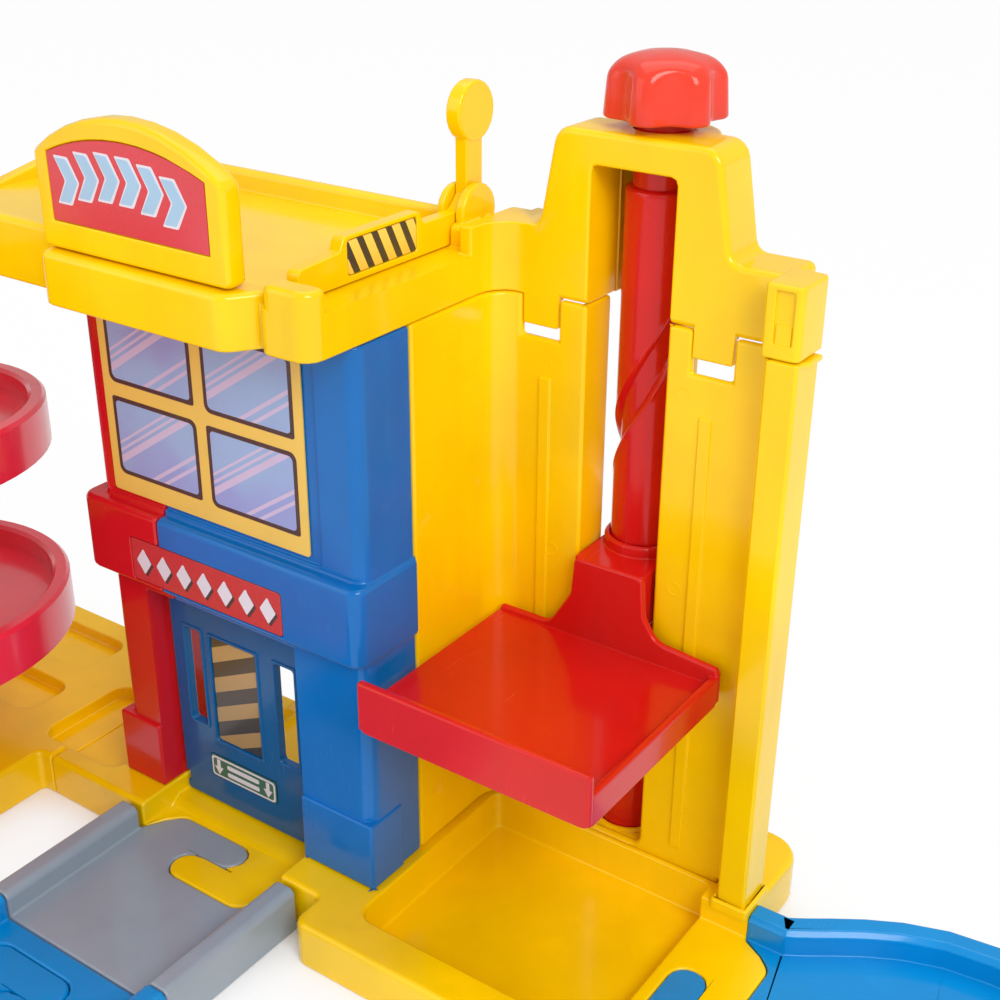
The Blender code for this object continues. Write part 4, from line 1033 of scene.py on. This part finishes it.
def makeCornerRibs():
    settings = cornerSettings
    ribs = []
    tall = settings["head"] - settings["foot"]
    for x, y in settings["places"]:
        rib = added(bpy.ops.mesh.primitive_cylinder_add, vertices=32, radius=settings["radius"], depth=tall,
                    location=(x, y, settings["foot"] + tall / 2))
        bpy.ops.object.transform_apply(location=True, rotation=True, scale=True)
        edit(rib)
        selectLevel(rib.data, settings["foot"])
        bpy.ops.mesh.bevel(offset=settings["chamfer"], segments=2, affect="EDGES")
        leave()
        bpy.ops.object.shade_smooth_by_angle(angle=roundingSettings["smooth"])
        rib.data.materials.append(plastics["yellow"])
        ribs.append(rib)
    return settled(joinedPiece("baseLeftRibs", ribs), "garage", "yellow")


makeCornerRibs()
print("pin marks and corner ribs made")

# Lift screw

screwSettings = {
    "radius": 0.0105,
    "foot": 0.014,
    "shoulder": 0.240,
    "neck": 0.0085,
    "head": 0.2715,
    "pitch": 0.111,
    "depth": 0.0019,
    "halfGroove": pi * 0.017 / 0.111,
    "wall": (0.72, 1.02),
    "lip": 0.0002,
    "lipRise": (0.98, 1.08),
    "lipFall": (1.1, 1.35),
    "mark": 0.1592,
    "markAngle": radians(208.2),
    "around": 120,
    "rows": 180,
    "smooth": radians(40),
}


def makeScrew():
    # The grooved section is turned and lifted to its shoulder, then the neck is drawn from it.
    settings = screwSettings
    foot, shoulder, pitch = settings["foot"], settings["shoulder"], settings["pitch"]
    rim, neck = settings["radius"], settings["neck"]
    piece = added(bpy.ops.mesh.primitive_circle_add, vertices=settings["around"], radius=rim,
                  location=(0.0, 0.0, 0.0))
    piece.name = "grooveScrew"
    mesh = piece.data

    def passed(kind, angle):
        low, high = (share * settings["halfGroove"] for share in settings[kind])
        return smooth(low, high, abs(angle))

    start = settings["markAngle"] + tau * (foot - settings["mark"]) / pitch
    for vert in mesh.vertices:
        angle = (vert.co.xy.angle_signed(Vector((1.0, 0.0))) + pi) % tau - pi
        deep = 1.0 - passed("wall", angle)
        lip = passed("lipRise", angle) * (1.0 - passed("lipFall", angle))
        radius = rim - settings["depth"] * deep + settings["lip"] * lip
        vert.co = (radius * cos(angle + start), radius * sin(angle + start), foot)
    lift = piece.modifiers.new("Lift", "SCREW")
    lift.angle = tau * (shoulder - foot) / pitch
    lift.screw_offset = shoulder - foot
    lift.steps = settings["rows"]
    lift.render_steps = settings["rows"]
    lift.use_merge_vertices = False
    alone(piece)
    bpy.ops.object.modifier_apply(modifier=lift.name)
    edit(piece)
    selectLevel(mesh, shoulder)
    # Rounded shoulder, neck and chamfered head, as rises and the radius at the end of each
    before = rim
    for rise, radius in (
        (0.0006, rim - 0.0003),
        (0.0004, rim - 0.0009),
        (0.0002, neck),
        (settings["head"] - shoulder - 0.0017, neck),
        (0.0005, neck - 0.0005),
    ):
        share = radius / before
        extrude(0.0, 0.0, rise)
        bpy.ops.transform.resize(value=(share, share, 1.0), center_override=(0.0, 0.0, shoulder))
        before = radius
    bpy.ops.mesh.edge_face_add()
    selectLevel(mesh, foot)
    bpy.ops.mesh.edge_face_add()
    turnedOut()
    bpy.ops.object.shade_smooth_by_angle(angle=settings["smooth"])
    mesh.materials.append(plastics["liftRed"])
    return settled(piece, "screw", "lift_red", "lift_screw")


makeScrew()

# Knob with six deep finger scallops and a domed head

knobSettings = {
    "radius": 0.0161,
    "lobe": 0.0018,
    "lobes": 6,
    "crest": 0.6,
    "turn": radians(34.6),
    "around": 144,
    "bore": 0.0088,
    "boreTop": 0.2718,
    "levels": (0.0, 0.02, 0.045, 0.3, 0.6, 0.68, 0.74, 0.79, 0.83, 0.87, 0.91, 0.95, 0.98, 1.0),
    "widths": (0.965, 0.99, 1.0, 0.98, 0.955, 0.945, 0.925, 0.895, 0.855, 0.79, 0.69, 0.52, 0.33, 0.1),
    "fade": (0.6, 0.86),
    "faded": 0.75,
    "smooth": radians(50),
}


def makeKnob():
    settings = knobSettings
    low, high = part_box("knob")
    foot = low.z
    tall = high.z - foot
    piece = added(bpy.ops.mesh.primitive_circle_add, vertices=settings["around"], radius=settings["radius"])
    piece.name = "liftKnob"
    mesh = piece.data
    edit(piece)
    for _ in settings["levels"][1:]:
        extrude(0.0, 0.0, tall)
    bpy.ops.mesh.edge_face_add()
    leave()
    crest = settings["crest"]
    for vert in mesh.vertices:
        row = round(vert.co.z / tall)
        level, width = settings["levels"][row], settings["widths"][row]
        angle = Vector((1.0, 0.0)).angle_signed(vert.co.xy) * -1.0
        wave = cos(settings["lobes"] * (angle - settings["turn"]))
        rounded = wave if wave < 0.0 else wave * (1.0 + crest - crest * wave)
        fade = 1.0 - smooth(*settings["fade"], level) * settings["faded"]
        radius = (settings["radius"] + settings["lobe"] * rounded * fade) * width
        vert.co = (radius * cos(angle), radius * sin(angle), foot + tall * level)
    edit(piece)
    selectLevel(mesh, foot)
    extrude(0.0, 0.0, 0.0)
    shape = bmesh.from_edit_mesh(mesh)
    for vert in shape.verts:
        if vert.select:
            vert.co.xy = vert.co.xy.normalized() * settings["bore"]
    bmesh.update_edit_mesh(mesh)
    extrude(0.0, 0.0, settings["boreTop"] - foot)
    bpy.ops.mesh.edge_face_add()
    turnedOut()
    bpy.ops.object.shade_smooth_by_angle(angle=settings["smooth"])
    mesh.materials.append(plastics["knobRed"])
    return settled(piece, "screw", "lift_red", "knob")


makeKnob()
print("screw and knob turned")

# Spiral ramp: the lane's section spun about the column and let down turn by turn

spiralSettings = {
    "centre": (-0.247, -0.150),
    "outer": 0.090,
    "inner": 0.0435,
    "mark": 0.1676,
    "pitch": 0.0676,
    "lift": 0.0082,
    "first": -270,
    "last": 630,
    "step": 4.5,
    "mouth": -0.2323,
    "mouthRise": 0.001,
    "chuteEnd": -0.150,
    "chuteLevel": 0.0195,
    "chuteShares": (0.10, 0.20, 0.30, 0.42, 0.54, 0.65, 0.77, 0.88, 1.0),
    "footLevel": 0.0083,
    "footFrom": -0.2079,
    "chuteDrop": ((0.0, 0.30, 0.65, 1.0), (0.0, 0.22, 0.62, 1.0)),
    "smooth": radians(32),
}

laneSettings = {
    "edge": 0.0012,
    "outerWall": 0.006,
    "innerWall": 0.0035,
    "skirt": 0.0022,
    "floor": -0.008,
    "under": -0.0105,
    "pocket": -0.0115,
    "foot": -0.017,
}


def laneSection():
    # Measured from the middle of the lane and the top of the outer wall.
    settings = laneSettings
    half = (spiralSettings["outer"] - spiralSettings["inner"]) / 2
    edge, skirt = settings["edge"], settings["skirt"]
    floor, under, foot = settings["floor"], settings["under"], settings["foot"]
    outer, inner = half - settings["outerWall"], -half + settings["innerWall"]
    return [
        (half, foot), (half, -edge), (half - edge, 0.0), (outer + edge, 0.0), (outer, -edge),
        (outer, floor), (inner, floor), (inner, -edge), (inner - edge, 0.0), (-half + edge, 0.0),
        (-half, -edge), (-half, foot), (-half + skirt, foot), (-half + skirt, under),
        (outer, under), (outer, settings["pocket"]), (half - skirt, settings["pocket"]), (half - skirt, foot),
    ]


def rampLevel(degrees):
    settings = spiralSettings
    extra = settings["lift"] * (degrees / 270) ** 2 if degrees < 0 else 0.0
    return settings["mark"] - settings["pitch"] * degrees / 360 + extra


def makeSpiral():
    settings = spiralSettings
    section = laneSection()
    size = len(section)
    middle = (settings["outer"] + settings["inner"]) / 2
    centreX, centreY = settings["centre"]
    piece = added(bpy.ops.mesh.primitive_circle_add, vertices=size, radius=0.01)
    piece.name = "spiralLane"
    mesh = piece.data
    angle = radians(settings["first"])
    for vert, (out, up) in zip(mesh.vertices, section):
        reach = middle + out
        vert.co = (centreX + reach * cos(angle), centreY + reach * sin(angle), up)
    turns = settings["last"] - settings["first"]
    steps = round(turns / settings["step"])
    edit(piece)
    bpy.ops.mesh.select_all(action="SELECT")
    bpy.ops.mesh.spin(steps=steps, angle=radians(turns), center=(centreX, centreY, 0.0),
                      axis=(0.0, 0.0, -1.0), use_auto_merge=False)
    leave()
    for row in range(steps + 1):
        level = rampLevel(settings["first"] + settings["step"] * row)
        for index in range(size):
            mesh.vertices[row * size + index].co.z = section[index][1] + level

    def ringPicked(first):
        edit(piece)
        selectCorners(mesh, lambda vert: first <= vert.index < first + size)

    def extruded(first, place):
        # A copy of one end's ring, each corner at its place beside the lane's middle line
        ringPicked(first)
        bpy.ops.mesh.extrude_edges_move(TRANSFORM_OT_translate={"value": (0.0, 0.0, 0.0)})
        leave()
        fresh = len(mesh.vertices) - size
        for index in range(size):
            mesh.vertices[fresh + index].co = place(*section[index])
        return fresh

    # Straight mouth at the deck, and the chute down to the road
    top = rampLevel(settings["first"]) + settings["mouthRise"]
    mouth = extruded(0, lambda out, up: (settings["mouth"], centreY + middle + out, up + top))
    last = steps * size
    bottom = rampLevel(settings["last"])
    for share in settings["chuteShares"]:
        x = centreX + (settings["chuteEnd"] - centreX) * share
        level = bottom + (settings["chuteLevel"] - bottom) * np.interp(share, *settings["chuteDrop"])
        last = extruded(last, lambda out, up: (x, centreY - middle - out, up + level))
    for vert in mesh.vertices:
        if vert.co.x > settings["footFrom"] and vert.co.y < centreY:
            vert.co.z = max(vert.co.z, settings["footLevel"])
    for first in (mouth, last):
        ringPicked(first)
        bpy.ops.mesh.edge_face_add()
        leave()
    edit(piece)
    bpy.ops.mesh.select_all(action="SELECT")
    bpy.ops.mesh.remove_doubles(threshold=0.00001)
    turnedOut()
    bpy.ops.object.shade_smooth_by_angle(angle=settings["smooth"])
    mesh.materials.append(plastics["coral"])
    return settled(piece, "garage", "ramp_coral", "spiral_ramp")


makeSpiral()
print("spiral let down")

# Camera at the photograph's angle

cameraSettings = {
    "place": (0.20625, -0.37688, 0.347),
    "yaw": 34.9,
    "pitch": 26.0,
    "roll": -0.35,
    "halfWidth": 500 / 1480,
}


def makeCamera():
    settings = cameraSettings
    yaw, pitch, roll = (radians(settings[key]) for key in ("yaw", "pitch", "roll"))
    forward = Vector((-sin(yaw) * cos(pitch), cos(yaw) * cos(pitch), -sin(pitch)))
    level = Vector((cos(yaw), sin(yaw), 0.0))
    down = forward.cross(level)
    right = level * cos(roll) + down * sin(roll)
    up = level * sin(roll) - down * cos(roll)
    lens = bpy.data.cameras.new("camera")
    lens.angle = 2 * atan(settings["halfWidth"])
    lens.clip_start = 0.01
    camera = bpy.data.objects.new("camera", lens)
    bpy.context.scene.collection.objects.link(camera)
    camera.matrix_world = Matrix((right, up, -forward)).transposed().to_4x4()
    camera.location = settings["place"]
    bpy.context.scene.camera = camera


makeCamera()
print("camera placed")

# Floor, lamps and world

studio = {
    "floorHalf": 12.0,
    "floorTones": (tone(244, 244, 245), tone(250, 250, 250)),
    "floorRoughness": 0.7,
    "floorWhite": 0.96,
    "shadowReach": 0.06,
    "shadowRange": (0.15, 0.85),
    "worldStrength": 0.58,
    "lamps": {
        "keyLamp": {"place": (1.1, -0.75, 1.15), "size": 0.8, "power": 15.5},
        "fillLamp": {"place": (-0.9, -1.3, 0.8), "size": 1.2, "power": 5.0},
        "topLamp": {"place": (-0.2, 0.3, 1.6), "size": 1.4, "power": 7.0},
    },
    "aim": (-0.05, -0.05, 0.12),
    "seenRays": ("Is Camera Ray", "Is Glossy Ray", "Is Transmission Ray"),
}


def makeFloor():
    # The floor shows as white paper, with the object's own shadow kept on it.
    floor = added(bpy.ops.mesh.primitive_plane_add, size=2 * studio["floorHalf"])
    floor.name = "floor"
    finish = Finish("paleFloor")
    pale = finish.mixed(*studio["floorTones"], finish.noise(finish.place(), 3.0, 2.0))
    sockets = {"Base Color": pale, "Roughness": studio["floorRoughness"]}
    paper = finish.node("ShaderNodeBsdfPrincipled", inputs=sockets)
    light = finish.node("ShaderNodeEmission", inputs={"Color": (1.0, 1.0, 1.0, 1.0), "Strength": 1.0})
    paths = finish.node("ShaderNodeLightPath").socket.node.outputs
    camera, glossy, clear = (Signal(finish, paths[kind]) for kind in studio["seenRays"])
    seen = camera.joined("MAXIMUM", camera, camera.joined("MAXIMUM", glossy, clear))
    reach = {"Distance": studio["shadowReach"]}
    shadow = finish.node("ShaderNodeAmbientOcclusion", {"samples": 8}, reach, 1)
    share = seen * finish.ramped(shadow, *studio["shadowRange"]) * studio["floorWhite"]
    mixed = finish.node("ShaderNodeMixShader", inputs={0: share, 1: paper, 2: light})
    finish.ended(mixed)
    floor.data.materials.append(finish.material)


def makeLamps():
    aim = Vector(studio["aim"])
    for name, settings in studio["lamps"].items():
        lamp = bpy.data.lights.new(name, "AREA")
        lamp.size = settings["size"]
        lamp.energy = settings["power"]
        holder = bpy.data.objects.new(name, lamp)
        bpy.context.scene.collection.objects.link(holder)
        holder.location = settings["place"]
        holder.rotation_euler = (Vector(settings["place"]) - aim).to_track_quat("Z", "Y").to_euler()


def makeWorld():
    world = bpy.data.worlds.new("studio")
    bpy.context.scene.world = world
    world.use_nodes = True
    tree = world.node_tree
    background = tree.nodes["Background"]
    path = tree.nodes.new("ShaderNodeLightPath")
    shown = tree.nodes.new("ShaderNodeMath")
    shown.operation = "MAXIMUM"
    tree.links.new(path.outputs["Is Camera Ray"], shown.inputs[0])
    tree.links.new(path.outputs["Is Transmission Ray"], shown.inputs[1])
    strength = tree.nodes.new("ShaderNodeMapRange")
    strength.inputs["To Min"].default_value = studio["worldStrength"]
    strength.inputs["To Max"].default_value = 1.0
    tree.links.new(shown.outputs[0], strength.inputs["Value"])
    tree.links.new(strength.outputs[0], background.inputs["Strength"])
    background.inputs["Color"].default_value = (1.0, 1.0, 1.0, 1.0)


makeFloor()
makeLamps()
makeWorld()
bpy.context.scene.view_settings.view_transform = "Standard"
print("studio ready")
